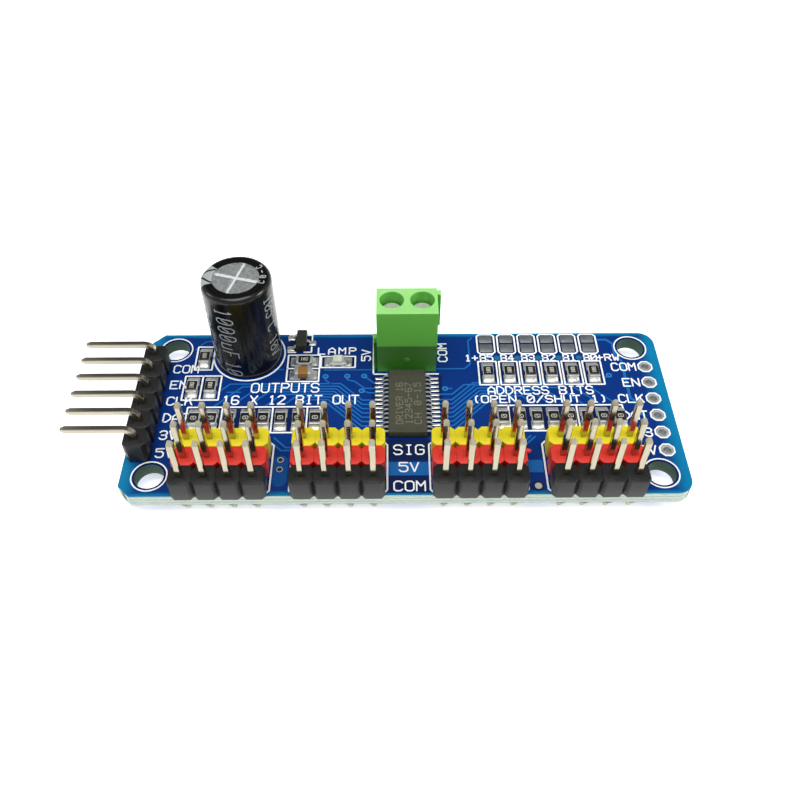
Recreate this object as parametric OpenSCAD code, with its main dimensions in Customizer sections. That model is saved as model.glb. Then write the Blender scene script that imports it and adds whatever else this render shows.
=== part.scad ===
// Sixteen-channel servo driver board.
// +X runs to the right, +Y to the back edge and +Z up. The origin is the centre of the
// four mounting holes, at the underside of the board.

/* [Circuit board] */
// Length of the board
board_l = 62.2; // [61.8:0.1:66]
// Depth of the board, front to back
board_d = 24.4; // [24.2:0.1:28]
// Thickness of the board
board_t = 1.6; // [1.2:0.1:2]
// Mounting hole spacing along the board
hole_span_x = 55.88; // [55:0.01:56.2]
// Mounting hole spacing across the board
hole_span_y = 19.05; // [18.8:0.01:19.3]
// Diameter of a mounting hole
hole_d = 3.2; // [2.8:0.1:3.4]
// Cut across each left corner
corner_cut = 1.4; // [0.5:0.1:2]
// Radius of each right corner
corner_r = 1.9; // [0.5:0.1:2.5]

/* [Pin headers] */
// Distance between neighbouring pins
pitch = 2.54; // [2.54]
// Width of a header strip
strip_w = 2.54; // [2.3:0.02:2.54]
// Height of a header strip
strip_h = 2.85; // [2.3:0.05:3]
// Side of a square pin
pin_w = 0.64; // [0.5:0.01:0.7]
// Length of a pin above its strip
pin_up = 5.65; // [5:0.05:8]
// Length of a pin below the board
pin_tail = 1.4; // [1.2:0.1:2.5]
// Height of the bent input pins above the board
bend_rise = 4.25; // [4:0.05:5]
// Reach of the bent input pins from their row
bend_reach = 7.65; // [6:0.05:10]

/* [Screw terminal] */
// Distance between the two wire ways
pole_pitch = 3.5; // [3.5]
// Height of the terminal block
block_h = 9.9; // [9.9:0.1:11]
// Depth of the terminal block
block_d = 6.95; // [6.9:0.05:7.4]
// Diameter of the screwdriver wells
well_d = 2.8; // [2.4:0.1:2.9]
// Diameter of a clamp screw's shank
screw_d = 1.8; // [1.6:0.05:1.85]
// Diameter of a clamp screw's head
head_d = 2.3; // [2.2:0.05:2.35]
// Rise of a clamp cage from open to shut
cage_travel = 1.4; // [1:0.1:1.4]

/* [Capacitor] */
// Diameter of the capacitor's can
can_d = 8; // [7:0.1:8.2]
// Height of the capacitor above the board
can_h = 12.5; // [10.5:0.1:16]

/* [Chips] */
// Length of the driver chip's body
chip_l = 9.7; // [9.6:0.1:9.8]
// Width of the driver chip's body
chip_w = 4.4; // [4.2:0.1:4.5]
// Width of the driver chip over its leads
chip_span = 6.4; // [6.2:0.1:6.6]

/* [Hidden] */

$fn = 48;
top_z = board_t;

// Header places: four groups of four channels in three rows, moved a little to the right
layout_shift = 0.3;
group_x = [-8 * pitch, -3 * pitch, 3 * pitch, 8 * pitch];
row_y = [-2.5 * pitch, -3.5 * pitch, -4.5 * pitch];
row_name = ["signal", "supply", "ground"];
row_colour = ["yellow", "red", "dimgray"];
input_x = -11.5 * pitch - 0.25;
spare_x = 11.5 * pitch;
pin_hole_d = 1.0;
strip_cut = 0.42;
pin_tip = 0.45;
pin_tip_w = 0.3;
bend_r = 1.0;
eyelet_d = 1.64;
eyelet_t = 0.05;

// Screw terminal: each place is measured in the row's own frame
pole_x = [layout_shift - pole_pitch / 2, layout_shift + pole_pitch / 2];
block_w = 2 * pole_pitch;
block_y = 5.45;
block_lip = 0.27;
block_step = 4.7;
block_top_d = 4.25;
block_shelf = 5;
screw_y = 7.75;
chamber_w = 2.6;
chamber_y = [6.4, 9.4];
chamber_z = [2.2, 7.45];
cage_w = 2.5;
cage_y = [6.45, 9.35];
cage_floor = [2.3, 2.9];
cage_roof = [5.15, 5.95];
cage_wall = 0.25;
cage_bore_d = screw_d + 0.1;
shoulder_z = 8.9;
head_h = 1.1;
slot_w = 0.45;
slot_deep = 0.5;
screw_tip_z = 5.2;
bar_w = 1.5;
bar_z = [4.6, 5.1];
tag_t = 0.4;
tag_y = 5.95;
entry_w = 2.2;
entry_z = [2.7, 5];
funnel_w = 2.8;
funnel_z = [2.4, 5.5];
funnel_deep = 1;
tag_hole_d = 1.2;

// Capacitor
cap_at = [-18.9, 8.75];
cap_lead_gap = 3.5;
cap_lead_d = 0.6;
sleeve_t = 0.1;
can_wall = 0.3;
can_edge_r = 0.6;
vent_disc_r = 2.75;
vent_w = 0.22;
vent_deep = 0.1;
vent_turn = -16;
bung_h = 1.6;

// Driver chip
chip_at = [layout_shift, 0.4];
chip_leads = 14;
chip_pitch = 0.65;
chip_rise = 0.1;
chip_h = 0.95;

// Small parts
transistor_at = [-12.6, 10.6];
lamp_at = [-8.0, 7.4];
part_l = 2.0;
part_w = 1.25;
bank_y = -1.68;
left_bank_x = -24.2;
left_bank_pitch = 1.985;
right_bank_x = 11.35;
right_bank_pitch = 1.915;
address_x = 10.1;
address_y = 5.45;
jumper_y = [11.2, 9.6];
bus_at = [[-24.25, 8.1], [-25.1, 3.3], [-22.95, 3.3]];
filter_at = [-12.1, 7.46];
bypass_at = [-12.1, 5.3];

// ---------------------------------------------------------------- circuit board

module board_outline() {
    half_l = board_l / 2;
    half_d = board_d / 2;
    polygon([[-half_l + corner_cut, -half_d], [half_l - corner_r, -half_d],
        [half_l - corner_r, half_d], [-half_l + corner_cut, half_d],
        [-half_l, half_d - corner_cut], [-half_l, -half_d + corner_cut]]);
    translate([half_l - corner_r, -half_d + corner_r]) square([corner_r, board_d - 2 * corner_r]);
    for (side = [-1, 1])
        translate([half_l - corner_r, side * (half_d - corner_r)]) circle(corner_r);
}

// A vertical hole through the whole board
module drill(at, d) {
    translate([at.x, at.y, -1]) cylinder(d = d, h = board_t + 2);
}

// The place of every straight header pin in one group
function pin_places(group, row) =
    [for (i = [0:3]) [group_x[group] + layout_shift + (i - 1.5) * pitch, row_y[row]]];

// The places of a row of six along the board's short edge
function edge_places(x) = [for (i = [0:5]) [x, (i - 2.5) * pitch]];

function cap_lead_places() = [for (s = [-1, 1]) [cap_at.x + s * cap_lead_gap / 2, cap_at.y]];

module circuit_board() {
    color("royalblue")
    difference() {
        linear_extrude(board_t) board_outline();
        for (sx = [-1, 1])
            for (sy = [-1, 1])
                drill([sx * hole_span_x / 2, sy * hole_span_y / 2], hole_d);
        for (g = [0:3])
            for (r = [0:2])
                for (at = pin_places(g, r)) drill(at, pin_hole_d);
        for (at = edge_places(input_x)) drill(at, pin_hole_d);
        for (at = edge_places(spare_x)) drill(at, pin_hole_d + 2 * eyelet_t);
        for (at = cap_lead_places()) drill(at, cap_lead_d + 0.3);
        for (x = pole_x) drill([x, tag_y + tag_t / 2], tag_hole_d);
    }
}

// ---------------------------------------------------------------- header strips and pins

// Plan of one strip along X: a chain of segments with their corners cut off
module strip_plan(count) {
    half = strip_w / 2;
    start = -count * pitch / 2;
    front = [for (i = [0:count - 1]) each [
        [start + i * pitch, -half + strip_cut],
        [start + i * pitch + strip_cut, -half],
        [start + (i + 1) * pitch - strip_cut, -half]]];
    back = [for (i = [count - 1:-1:0]) each [
        [start + (i + 1) * pitch, half - strip_cut],
        [start + (i + 1) * pitch - strip_cut, half],
        [start + i * pitch + strip_cut, half]]];
    polygon(concat(front, [[-start, -half + strip_cut]], back, [[start, half - strip_cut]]));
}

module strip(count) {
    translate([0, 0, top_z])
    difference() {
        linear_extrude(strip_h) strip_plan(count);
        for (i = [0:count - 1])
            translate([(i - (count - 1) / 2) * pitch - pin_w / 2, -pin_w / 2, -1])
                cube([pin_w, pin_w, strip_h + 2]);
    }
}

// Side outline of a straight pin, from its tail to its tip
module pin_side() {
    half = pin_w / 2;
    tip = pin_tip_w / 2;
    low = -pin_tail;
    high = top_z + strip_h + pin_up;
    polygon([[-tip, low], [tip, low], [half, low + pin_tip], [half, high - pin_tip],
        [tip, high], [-tip, high], [-half, high - pin_tip], [-half, low + pin_tip]]);
}

// A square pin with both ends drawn to a blunt point
module straight_pin() {
    intersection() {
        rotate([90, 0, 0]) translate([0, 0, -1]) linear_extrude(2) pin_side();
        rotate([90, 0, 90]) translate([0, 0, -1]) linear_extrude(2) pin_side();
    }
}

module channel_strip(row, group) {
    color(row_colour[row])
    translate([group_x[group] + layout_shift, row_y[row], 0]) strip(4);
}

module channel_pins(row, group) {
    color("lightgray")
    for (at = pin_places(group, row)) translate([at.x, at.y, 0]) straight_pin();
}

module input_strip() {
    color("dimgray")
    translate([input_x, 0, 0]) rotate([0, 0, 90]) strip(6);
}

// Side outline of a bent pin: up through the strip, round the bend and out to the left
module bent_pin_side() {
    half = pin_w / 2;
    tip = pin_tip_w / 2;
    level = top_z + bend_rise;
    polygon([[-tip, -pin_tail], [tip, -pin_tail], [half, -pin_tail + pin_tip],
        [half, level - bend_r], [-half, level - bend_r], [-half, -pin_tail + pin_tip]]);
    intersection() {
        translate([-bend_r, level - bend_r])
        difference() {
            circle(bend_r + half);
            circle(bend_r - half);
        }
        translate([-bend_r, level - bend_r]) square(bend_r + pin_w);
    }
    polygon([[-bend_r, level - half], [-bend_r, level + half],
        [-bend_reach + pin_tip, level + half], [-bend_reach, level + tip],
        [-bend_reach, level - tip], [-bend_reach + pin_tip, level - half]]);
}

// Plan of a bent pin, which narrows its left end
module bent_pin_plan() {
    half = pin_w / 2;
    tip = pin_tip_w / 2;
    polygon([[-bend_reach, -tip], [-bend_reach + pin_tip, -half], [half, -half],
        [half, half], [-bend_reach + pin_tip, half], [-bend_reach, tip]]);
}

module input_pins() {
    color("lightgray")
    for (at = edge_places(input_x))
        translate([at.x, at.y, 0])
        intersection() {
            rotate([90, 0, 0]) translate([0, 0, -1]) linear_extrude(2) bent_pin_side();
            translate([0, 0, -pin_tail - 1]) linear_extrude(board_t + 12) bent_pin_plan();
        }
}

// Eight-sided land of a plated hole, its underside at a height
module eyelet_land(low) {
    translate([0, 0, low]) rotate(22.5) cylinder(d = eyelet_d / cos(22.5), h = eyelet_t, $fn = 8);
}

// Plated hole with a land on both faces, for a header that isn't fitted
module spare_input_eyelets() {
    barrel_d = pin_hole_d + 2 * eyelet_t;
    color("lightgray")
    for (at = edge_places(spare_x))
        translate([at.x, at.y, 0])
        difference() {
            union() {
                eyelet_land(-eyelet_t);
                eyelet_land(board_t);
                translate([0, 0, -eyelet_t / 2]) cylinder(d = barrel_d, h = board_t + eyelet_t);
            }
            translate([0, 0, -1]) cylinder(d = pin_hole_d, h = board_t + 2);
        }
}

// A cone of solder under the board around a square or round tail
module solder_cone(wide, high) {
    translate([0, 0, -high]) cylinder(d1 = wide * 0.5, d2 = wide, h = high);
}

module header_solder_joints() {
    joint_h = 0.85;
    pin_places_all = concat([for (g = [0:3]) for (r = [0:2]) each pin_places(g, r)],
        edge_places(input_x));
    color("silver") {
        for (at = pin_places_all)
            translate([at.x, at.y, 0])
            difference() {
                solder_cone(1.8, joint_h);
                translate([-pin_w / 2, -pin_w / 2, -2]) cube([pin_w, pin_w, 4]);
            }
        for (at = cap_lead_places())
            translate([at.x, at.y, 0])
            difference() {
                solder_cone(1.8, joint_h);
                translate([0, 0, -2]) cylinder(d = cap_lead_d, h = 4);
            }
        for (x = pole_x)
            translate([x, tag_y + tag_t / 2, 0])
            difference() {
                solder_cone(2, joint_h);
                translate([-tag_t, -tag_t / 2, -2]) cube([2 * tag_t, tag_t, 4]);
            }
    }
}

// ---------------------------------------------------------------- screw terminal

// Side outline of the block, front to the left: upright front with an undercut foot,
// flat top round the wells, then a slope down to the wire side
module block_side() {
    back = block_y + block_d;
    top = top_z + block_h;
    polygon([[block_y + block_lip, top_z], [back, top_z], [back, top_z + block_shelf],
        [back - 0.5, top_z + block_shelf], [block_y + block_top_d, top], [block_y, top],
        [block_y, top_z + block_step]]);
}

// Upright rib that keys the block to a neighbour
module key_rib(low, high) {
    linear_extrude(high - low) polygon([[0, -0.3], [0.42, -0.5], [0.42, 0.5], [0, 0.3]]);
}

module wire_way(x) {
    inside = chamber_y[1];
    back = block_y + block_d;
    translate([x - entry_w / 2, inside - 0.1, entry_z[0]])
        cube([entry_w, back - inside + 1, entry_z[1] - entry_z[0]]);
    translate([x - funnel_w / 2, back - funnel_deep, funnel_z[0]])
        cube([funnel_w, funnel_deep + 1, funnel_z[1] - funnel_z[0]]);
}

module terminal_housing() {
    top = top_z + block_h;
    color("limegreen")
    difference() {
        union() {
            translate([layout_shift - block_w / 2, 0, 0])
                rotate([90, 0, 90]) linear_extrude(block_w) block_side();
            translate([layout_shift + block_w / 2, 9, top - 4.9]) key_rib(0, 4.9);
            translate([layout_shift - block_w / 2, 6.5, top_z]) mirror([1, 0, 0]) key_rib(0, 5.4);
        }
        for (x = pole_x) {
            translate([x, screw_y, shoulder_z]) cylinder(d = well_d, h = 6);
            translate([x, screw_y, chamber_z[1] - 0.1]) cylinder(d = screw_d + 0.2, h = 2);
            translate([x - chamber_w / 2, chamber_y[0], chamber_z[0]])
                cube([chamber_w, chamber_y[1] - chamber_y[0], chamber_z[1] - chamber_z[0]]);
            translate([x - bar_w / 2, tag_y, top_z - 1])
                cube([bar_w, tag_t + 0.5, bar_z[1] + 1 - top_z]);
            wire_way(x);
        }
    }
}

module clamp_screw(x) {
    head_top = shoulder_z + head_h;
    color("silver")
    translate([x, screw_y, 0])
    difference() {
        union() {
            translate([0, 0, shoulder_z]) cylinder(d = head_d, h = head_h);
            translate([0, 0, screw_tip_z]) cylinder(d = screw_d, h = shoulder_z - screw_tip_z + 0.2);
        }
        translate([-head_d, -slot_w / 2, head_top - slot_deep]) cube([2 * head_d, slot_w, 1]);
    }
}

module clamp_cage(x) {
    deep = cage_y[1] - cage_y[0];
    color("goldenrod")
    difference() {
        translate([x - cage_w / 2, cage_y[0], cage_floor[0]])
            cube([cage_w, deep, cage_roof[1] - cage_floor[0]]);
        translate([x - cage_w / 2 + cage_wall, cage_y[0] - 1, cage_floor[1]])
            cube([cage_w - 2 * cage_wall, deep + 2, cage_roof[0] - cage_floor[1]]);
        translate([x, screw_y, cage_roof[0] - 0.1]) cylinder(d = cage_bore_d, h = 2);
    }
}

// Contact bar that the cage pulls the wire against, with its leg and its solder tail
module contact_tag(x) {
    color("lightgray") {
        translate([x - bar_w / 2, tag_y, bar_z[0]])
            cube([bar_w, cage_y[1] - tag_y, bar_z[1] - bar_z[0]]);
        translate([x - bar_w / 2, tag_y, top_z]) cube([bar_w, tag_t, bar_z[1] - top_z]);
        translate([x - tag_t, tag_y, -pin_tail]) cube([2 * tag_t, tag_t, pin_tail + top_z + 0.1]);
    }
}

// ---------------------------------------------------------------- capacitor

module at_capacitor() {
    translate([cap_at.x, cap_at.y, top_z]) children();
}

// Half section of a cup whose top edge is rounded, between two radii
module cup_half(outer, inner_r, low, high, edge) {
    square_top = high - edge;
    difference() {
        union() {
            translate([0, low]) square([outer, square_top - low]);
            translate([0, low]) square([outer - edge, high - low]);
            translate([outer - edge, square_top]) circle(edge);
        }
        translate([-outer, low - 1]) square([outer, high - low + 2]);
        translate([0, low - 1]) square([inner_r, high - low - can_wall + 1]);
    }
}

module capacitor_can() {
    can_r = can_d / 2;
    high = can_h - sleeve_t;
    color("silver")
    at_capacitor()
    difference() {
        rotate_extrude() cup_half(can_r, can_r - can_wall, 0.3, high, can_edge_r);
        for (turn = [vent_turn, vent_turn + 90])
            translate([0, 0, high - vent_deep]) rotate([0, 0, turn])
                translate([-vent_disc_r, -vent_w / 2, 0]) cube([2 * vent_disc_r, vent_w, 1]);
    }
}

// Shrunk plastic skin round the can, folded over its top edge
module capacitor_sleeve() {
    can_r = can_d / 2;
    high = can_h - sleeve_t;
    color("black")
    at_capacitor()
    rotate_extrude()
    difference() {
        union() {
            translate([0, 0.2]) square([can_r + sleeve_t, can_h - can_edge_r - 0.2 - sleeve_t]);
            translate([can_r - can_edge_r, high - can_edge_r]) circle(can_edge_r + sleeve_t);
            translate([0, high - can_edge_r]) square([can_r - can_edge_r, can_edge_r + sleeve_t]);
        }
        translate([-1, 0]) square([can_r + 1, high - can_edge_r]);
        translate([can_r - can_edge_r, high - can_edge_r]) circle(can_edge_r);
        translate([-1, high - can_edge_r - 0.1]) square([can_r - can_edge_r + 1, can_edge_r + 0.1]);
        translate([-1, 0]) square([vent_disc_r + 1, can_h + 1]);
    }
}

module capacitor_bung() {
    color("darkslategray")
    at_capacitor()
    difference() {
        translate([0, 0, 0.3]) cylinder(r = can_d / 2 - can_wall, h = bung_h);
        for (s = [-1, 1])
            translate([s * cap_lead_gap / 2, 0, 0]) cylinder(d = cap_lead_d, h = bung_h + 1);
    }
}

module capacitor_winding() {
    low = 0.3 + bung_h + 0.5;
    color("tan")
    at_capacitor()
    translate([0, 0, low]) cylinder(r = can_d / 2 - 0.5, h = can_h - low - 0.9);
}

module capacitor_leads() {
    color("lightgray")
    at_capacitor()
    for (s = [-1, 1])
        translate([s * cap_lead_gap / 2, 0, -top_z - pin_tail])
            cylinder(d = cap_lead_d, h = pin_tail + top_z + bung_h + 0.8);
}

// ---------------------------------------------------------------- driver chip

// End outline of a moulded chip body, widest at the parting line
module chip_outline(width, low, high, draft) {
    middle = (low + high) / 2;
    polygon([[-width / 2 + draft, low], [width / 2 - draft, low], [width / 2, middle],
        [width / 2 - draft, high], [-width / 2 + draft, high], [-width / 2, middle]]);
}

module chip_body(length, width, low, high, draft) {
    intersection() {
        rotate([90, 0, 0]) translate([0, 0, -length]) linear_extrude(2 * length)
            chip_outline(width, low, high, draft);
        rotate([90, 0, 90]) translate([0, 0, -width]) linear_extrude(2 * width)
            chip_outline(length, low, high, draft);
    }
}

// Side outline of one gull-wing lead that leaves the body towards +X
module gull_wing(root, shoulder_z, out, foot, thick) {
    bend = root + 0.28;
    polygon([[root, shoulder_z], [root, shoulder_z + thick], [bend, shoulder_z + thick],
        [bend + 0.1, shoulder_z + thick * 0.7], [out - foot + 0.1, thick * 1.3],
        [out - foot + 0.16, thick], [out, thick], [out, 0], [out - foot, 0],
        [out - foot - 0.08, thick * 0.45], [bend, shoulder_z]]);
}

module gull_wing_lead(root, shoulder_z, out, foot, thick, width) {
    translate([0, width / 2, 0]) rotate([90, 0, 0]) linear_extrude(width)
        gull_wing(root, shoulder_z, out, foot, thick);
}

module driver_chip_body() {
    color("dimgray")
    translate([chip_at.x, chip_at.y, top_z])
        chip_body(chip_l, chip_w, chip_rise, chip_rise + chip_h, 0.1);
}

module driver_chip_leads() {
    thick = 0.14;
    shoulder = chip_rise + chip_h / 2 - thick / 2;
    color("lightgray")
    translate([chip_at.x, chip_at.y, top_z])
    difference() {
        for (side = [0, 180])
            rotate([0, 0, side])
            for (i = [0:chip_leads - 1])
                translate([0, (i - (chip_leads - 1) / 2) * chip_pitch, 0])
                    gull_wing_lead(chip_w / 2 - 0.02, shoulder, chip_span / 2, 0.55, thick, 0.25);
        chip_body(chip_l, chip_w, chip_rise, chip_rise + chip_h, 0.1);
    }
}

// ---------------------------------------------------------------- transistor

module transistor_body() {
    color("dimgray")
    translate([transistor_at.x, transistor_at.y, top_z]) chip_body(2.9, 1.3, 0.05, 1.05, 0.08);
}

module transistor_leads() {
    color("lightgray")
    translate([transistor_at.x, transistor_at.y, top_z])
    difference() {
        union() {
            gull_wing_lead(0.62, 0.48, 1.2, 0.3, 0.13, 0.42);
            for (y = [-0.95, 0.95])
                translate([0, y, 0]) rotate([0, 0, 180])
                    gull_wing_lead(0.62, 0.48, 1.2, 0.3, 0.13, 0.42);
        }
        chip_body(2.9, 1.3, 0.05, 1.05, 0.08);
    }
}

// ---------------------------------------------------------------- small parts

// Body of a two-ended part that lies along X, without its end caps
module part_core(high) {
    cap_t = 0.04;
    translate([-part_l / 2 + cap_t, -part_w / 2 + cap_t, top_z + cap_t])
        cube([part_l - 2 * cap_t, part_w - 2 * cap_t, high - 2 * cap_t]);
}

// The two tinned end caps that wrap round that body
module part_caps(high, cap_l) {
    for (side = [0, 180])
        rotate([0, 0, side])
        difference() {
            translate([part_l / 2 - cap_l, -part_w / 2, top_z]) cube([cap_l, part_w, high]);
            part_core(high);
        }
}

resistor_h = 0.5;
bypass_h = 0.95;

function row_of(count, x, step, y) = [for (i = [0:count - 1]) [x + i * step, y]];

// Parts that lie along Y at a list of places
module along_y(places) {
    for (at = places) translate([at.x, at.y, 0]) rotate([0, 0, 90]) children();
}

module left_output_resistors() {
    color("black") along_y(row_of(8, left_bank_x, left_bank_pitch, bank_y)) part_core(resistor_h);
}

module left_output_resistor_caps() {
    color("lightgray")
    along_y(row_of(8, left_bank_x, left_bank_pitch, bank_y)) part_caps(resistor_h, 0.4);
}

module right_output_resistors() {
    color("black") along_y(row_of(8, right_bank_x, right_bank_pitch, bank_y)) part_core(resistor_h);
}

module right_output_resistor_caps() {
    color("lightgray")
    along_y(row_of(8, right_bank_x, right_bank_pitch, bank_y)) part_caps(resistor_h, 0.4);
}

module address_resistors() {
    color("black") along_y(row_of(6, address_x, pitch, address_y)) part_core(resistor_h);
}

module address_resistor_caps() {
    color("lightgray") along_y(row_of(6, address_x, pitch, address_y)) part_caps(resistor_h, 0.4);
}

// Three resistors on the input lines and one that feeds the power lamp
module bus_resistors() {
    color("black") {
        along_y(bus_at) part_core(resistor_h);
        translate([filter_at.x, filter_at.y, 0]) part_core(resistor_h);
    }
}

module bus_resistor_caps() {
    color("lightgray") {
        along_y(bus_at) part_caps(resistor_h, 0.4);
        translate([filter_at.x, filter_at.y, 0]) part_caps(resistor_h, 0.4);
    }
}

module bypass_capacitor() {
    color("peru") translate([bypass_at.x, bypass_at.y, 0]) part_core(bypass_h);
}

module bypass_capacitor_caps() {
    color("lightgray") translate([bypass_at.x, bypass_at.y, 0]) part_caps(bypass_h, 0.45);
}

// Power lamp: a white base plate, plated ends and a clear moulded lens
module lamp_base() {
    color("white") translate([lamp_at.x, lamp_at.y, 0]) part_core(0.35);
}

module lamp_terminals() {
    color("lightgray") translate([lamp_at.x, lamp_at.y, 0]) part_caps(0.35, 0.38);
}

module lamp_lens() {
    color("ivory")
    translate([lamp_at.x, lamp_at.y, top_z + 0.31])
    intersection() {
        rotate([90, 0, 0]) translate([0, 0, -2]) linear_extrude(4)
            polygon([[-0.62, 0], [0.62, 0], [0.5, 0.5], [-0.5, 0.5]]);
        rotate([90, 0, 90]) translate([0, 0, -2]) linear_extrude(4)
            polygon([[-0.58, 0], [0.58, 0], [0.5, 0.5], [-0.5, 0.5]]);
    }
}

// Two tinned pads for each of the six address bits, to be bridged with solder
module address_jumper_pads() {
    color("silver")
    for (at = row_of(6, address_x, pitch, 0))
        for (y = jumper_y)
            translate([at.x - 0.8 + 0.06, y - 0.72, top_z]) cube([1.6, 1.44, eyelet_t]);
}

// ---------------------------------------------------------------- build

circuit_board();
for (r = [0:2])
    for (g = [0:3]) {
        channel_strip(r, g);
        channel_pins(r, g);
    }
input_strip();
input_pins();
spare_input_eyelets();
header_solder_joints();
terminal_housing();
clamp_screw(pole_x[0]);  // left_clamp_screw
clamp_screw(pole_x[1]);  // right_clamp_screw
clamp_cage(pole_x[0]);  // left_clamp_cage
clamp_cage(pole_x[1]);  // right_clamp_cage
contact_tag(pole_x[0]);  // left_contact_tag
contact_tag(pole_x[1]);  // right_contact_tag
capacitor_sleeve();
capacitor_can();
capacitor_winding();
capacitor_bung();
capacitor_leads();
driver_chip_body();
driver_chip_leads();
transistor_body();
transistor_leads();
lamp_base();
lamp_lens();
lamp_terminals();
left_output_resistors();
left_output_resistor_caps();
right_output_resistors();
right_output_resistor_caps();
address_resistors();
address_resistor_caps();
bus_resistors();
bus_resistor_caps();
bypass_capacitor();
bypass_capacitor_caps();
address_jumper_pads();
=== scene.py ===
# %% [markdown]
# # A servo driver board, finished in Blender
#
# The exact solids of the board arrive as a fixed frame. This lesson gives them their looks: moulded
# header strips, bright pins, solder, printed labels, copper tracks under a blue lacquer, a screw
# terminal and a capacitor. Every new piece is a surface worked out as whole arrays with numpy.

# %% Load the frame
import math

import bpy
import bmesh
import numpy as np
from mathutils import Matrix, Vector


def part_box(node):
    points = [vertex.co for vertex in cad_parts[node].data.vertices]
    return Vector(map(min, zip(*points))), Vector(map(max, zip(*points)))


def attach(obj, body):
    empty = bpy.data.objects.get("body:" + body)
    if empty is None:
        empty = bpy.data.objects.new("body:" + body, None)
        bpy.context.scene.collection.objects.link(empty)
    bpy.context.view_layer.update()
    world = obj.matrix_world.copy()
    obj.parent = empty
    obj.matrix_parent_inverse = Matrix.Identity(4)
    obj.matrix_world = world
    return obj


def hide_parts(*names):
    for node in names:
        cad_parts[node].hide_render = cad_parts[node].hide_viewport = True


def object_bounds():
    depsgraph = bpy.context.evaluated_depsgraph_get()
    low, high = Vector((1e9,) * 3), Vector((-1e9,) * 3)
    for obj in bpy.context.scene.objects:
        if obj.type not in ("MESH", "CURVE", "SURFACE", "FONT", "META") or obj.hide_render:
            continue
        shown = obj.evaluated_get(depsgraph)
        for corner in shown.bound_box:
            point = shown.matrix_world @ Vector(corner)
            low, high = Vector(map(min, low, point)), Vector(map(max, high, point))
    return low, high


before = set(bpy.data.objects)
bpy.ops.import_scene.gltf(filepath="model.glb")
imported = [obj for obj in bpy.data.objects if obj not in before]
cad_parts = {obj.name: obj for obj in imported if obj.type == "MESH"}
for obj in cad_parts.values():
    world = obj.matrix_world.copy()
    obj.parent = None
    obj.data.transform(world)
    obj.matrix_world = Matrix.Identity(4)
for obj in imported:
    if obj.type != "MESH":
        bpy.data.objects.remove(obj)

CAD_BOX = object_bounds()
MM = 0.001

# %% [markdown]
# ## Places come from the frame
# A pin or a resistor is drawn where the solids have it. `span` gives a node's box in millimetres, and
# `row_in` shares a box out into equal steps, which is how strips and banks of parts are laid out.

# %% Boxes and rows
def span(node):
    """The lowest and the highest corner of a CAD node, in millimetres."""
    low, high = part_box(node)
    return np.array(low) / MM, np.array(high) / MM


def row_in(node, count, axis=0):
    """Middles of `count` equal steps along one axis of a node's box: low + (i + 1/2) of a step."""
    low, high = span(node)
    step = (high[axis] - low[axis]) / count
    return low[axis] + step * (np.arange(count) + 0.5)


BOARD_LOW, BOARD_HIGH = span("circuit_board")
TOP = float(BOARD_HIGH[2])
print("board", np.round(BOARD_HIGH - BOARD_LOW, 2), "mm, its top face at", round(TOP, 2))

# %% [markdown]
# ## The camera
# The board is seen from in front and half above. A camera on a sphere round a target needs only two
# angles, a distance and a small roll, and its lens is as long as the closeness of the view asks.

# %% Camera
VIEW_EL, VIEW_AZ, VIEW_ROLL = (math.radians(v) for v in (49.157, -0.721, 0.214))
VIEW_DISTANCE = 103.146
VIEW_TARGET = Vector((-0.525, 2.639, 0.0))

level = math.cos(VIEW_EL)
back = Vector((math.sin(VIEW_AZ) * level, -math.cos(VIEW_AZ) * level, math.sin(VIEW_EL)))
right = (-back).cross(Vector((0, 0, 1))).normalized()
up = right.cross(-back)
across = right * math.cos(VIEW_ROLL) + up * math.sin(VIEW_ROLL)
upward = up * math.cos(VIEW_ROLL) - right * math.sin(VIEW_ROLL)

lens = bpy.data.cameras.new("camera")
lens.lens = 38.81
lens.sensor_width = 36
lens.clip_start = 0.005
lens.clip_end = 20
camera = bpy.data.objects.new("camera", lens)
facing = Matrix((across, upward, back)).transposed().to_4x4()
camera.matrix_world = Matrix.Translation((VIEW_TARGET + back * VIEW_DISTANCE) * MM) @ facing
bpy.context.scene.collection.objects.link(camera)
bpy.context.scene.camera = camera
print("camera at", [round(v / MM, 1) for v in camera.matrix_world.translation], "mm")

# %% [markdown]
# ## Colours and nodes
# Colours are written as the hex values that a screen shows, and one function turns them to the linear
# light that the renderer works in. One more function adds a node with its settings and its links.

# %% Colour and node helpers
def linear(code):
    """An sRGB hex colour as linear RGBA: (c/12.92) in the toe, ((c+0.055)/1.055)^2.4 above it."""
    c = np.array([int(code[i:i + 2], 16) for i in (1, 3, 5)]) / 255
    c = np.where(c <= 0.04045, c / 12.92, ((c + 0.055) / 1.055) ** 2.4)
    return (*c.tolist(), 1.0)


def add(tree, kind, inputs=(), **settings):
    """Adds one node. Settings are its properties; inputs are values, colours or sockets to link from."""
    made = tree.nodes.new("ShaderNode" + kind)
    for key, value in settings.items():
        setattr(made, key, value)
    for key, value in dict(inputs).items():
        if isinstance(value, bpy.types.NodeSocket):
            tree.links.new(value, made.inputs[key])
        else:
            made.inputs[key].default_value = value
    return made


def start_finish(name, shader_inputs):
    """A material with one Principled shader, and the object coordinates that its patterns read."""
    made = bpy.data.materials.new(name)
    made.use_nodes = True
    tree = made.node_tree
    tree.nodes.clear()
    shader = add(tree, "BsdfPrincipled", shader_inputs)
    add(tree, "OutputMaterial", {"Surface": shader.outputs["BSDF"]})
    place = add(tree, "TexCoord").outputs["Object"]
    return made, tree, shader, place


def per_mm(size):
    """The texture scale whose pattern repeats about every `size` millimetres."""
    return 1 / (size * MM)

# %% [markdown]
# ## Moulded plastics
# Header strips are glass-filled nylon, straight from the mould. The skin is satin, never quite even,
# and a little light goes in at the edges. Two noises do it: a broad one that shifts the colour and
# the gloss, and a fine one that roughens the skin.

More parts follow.
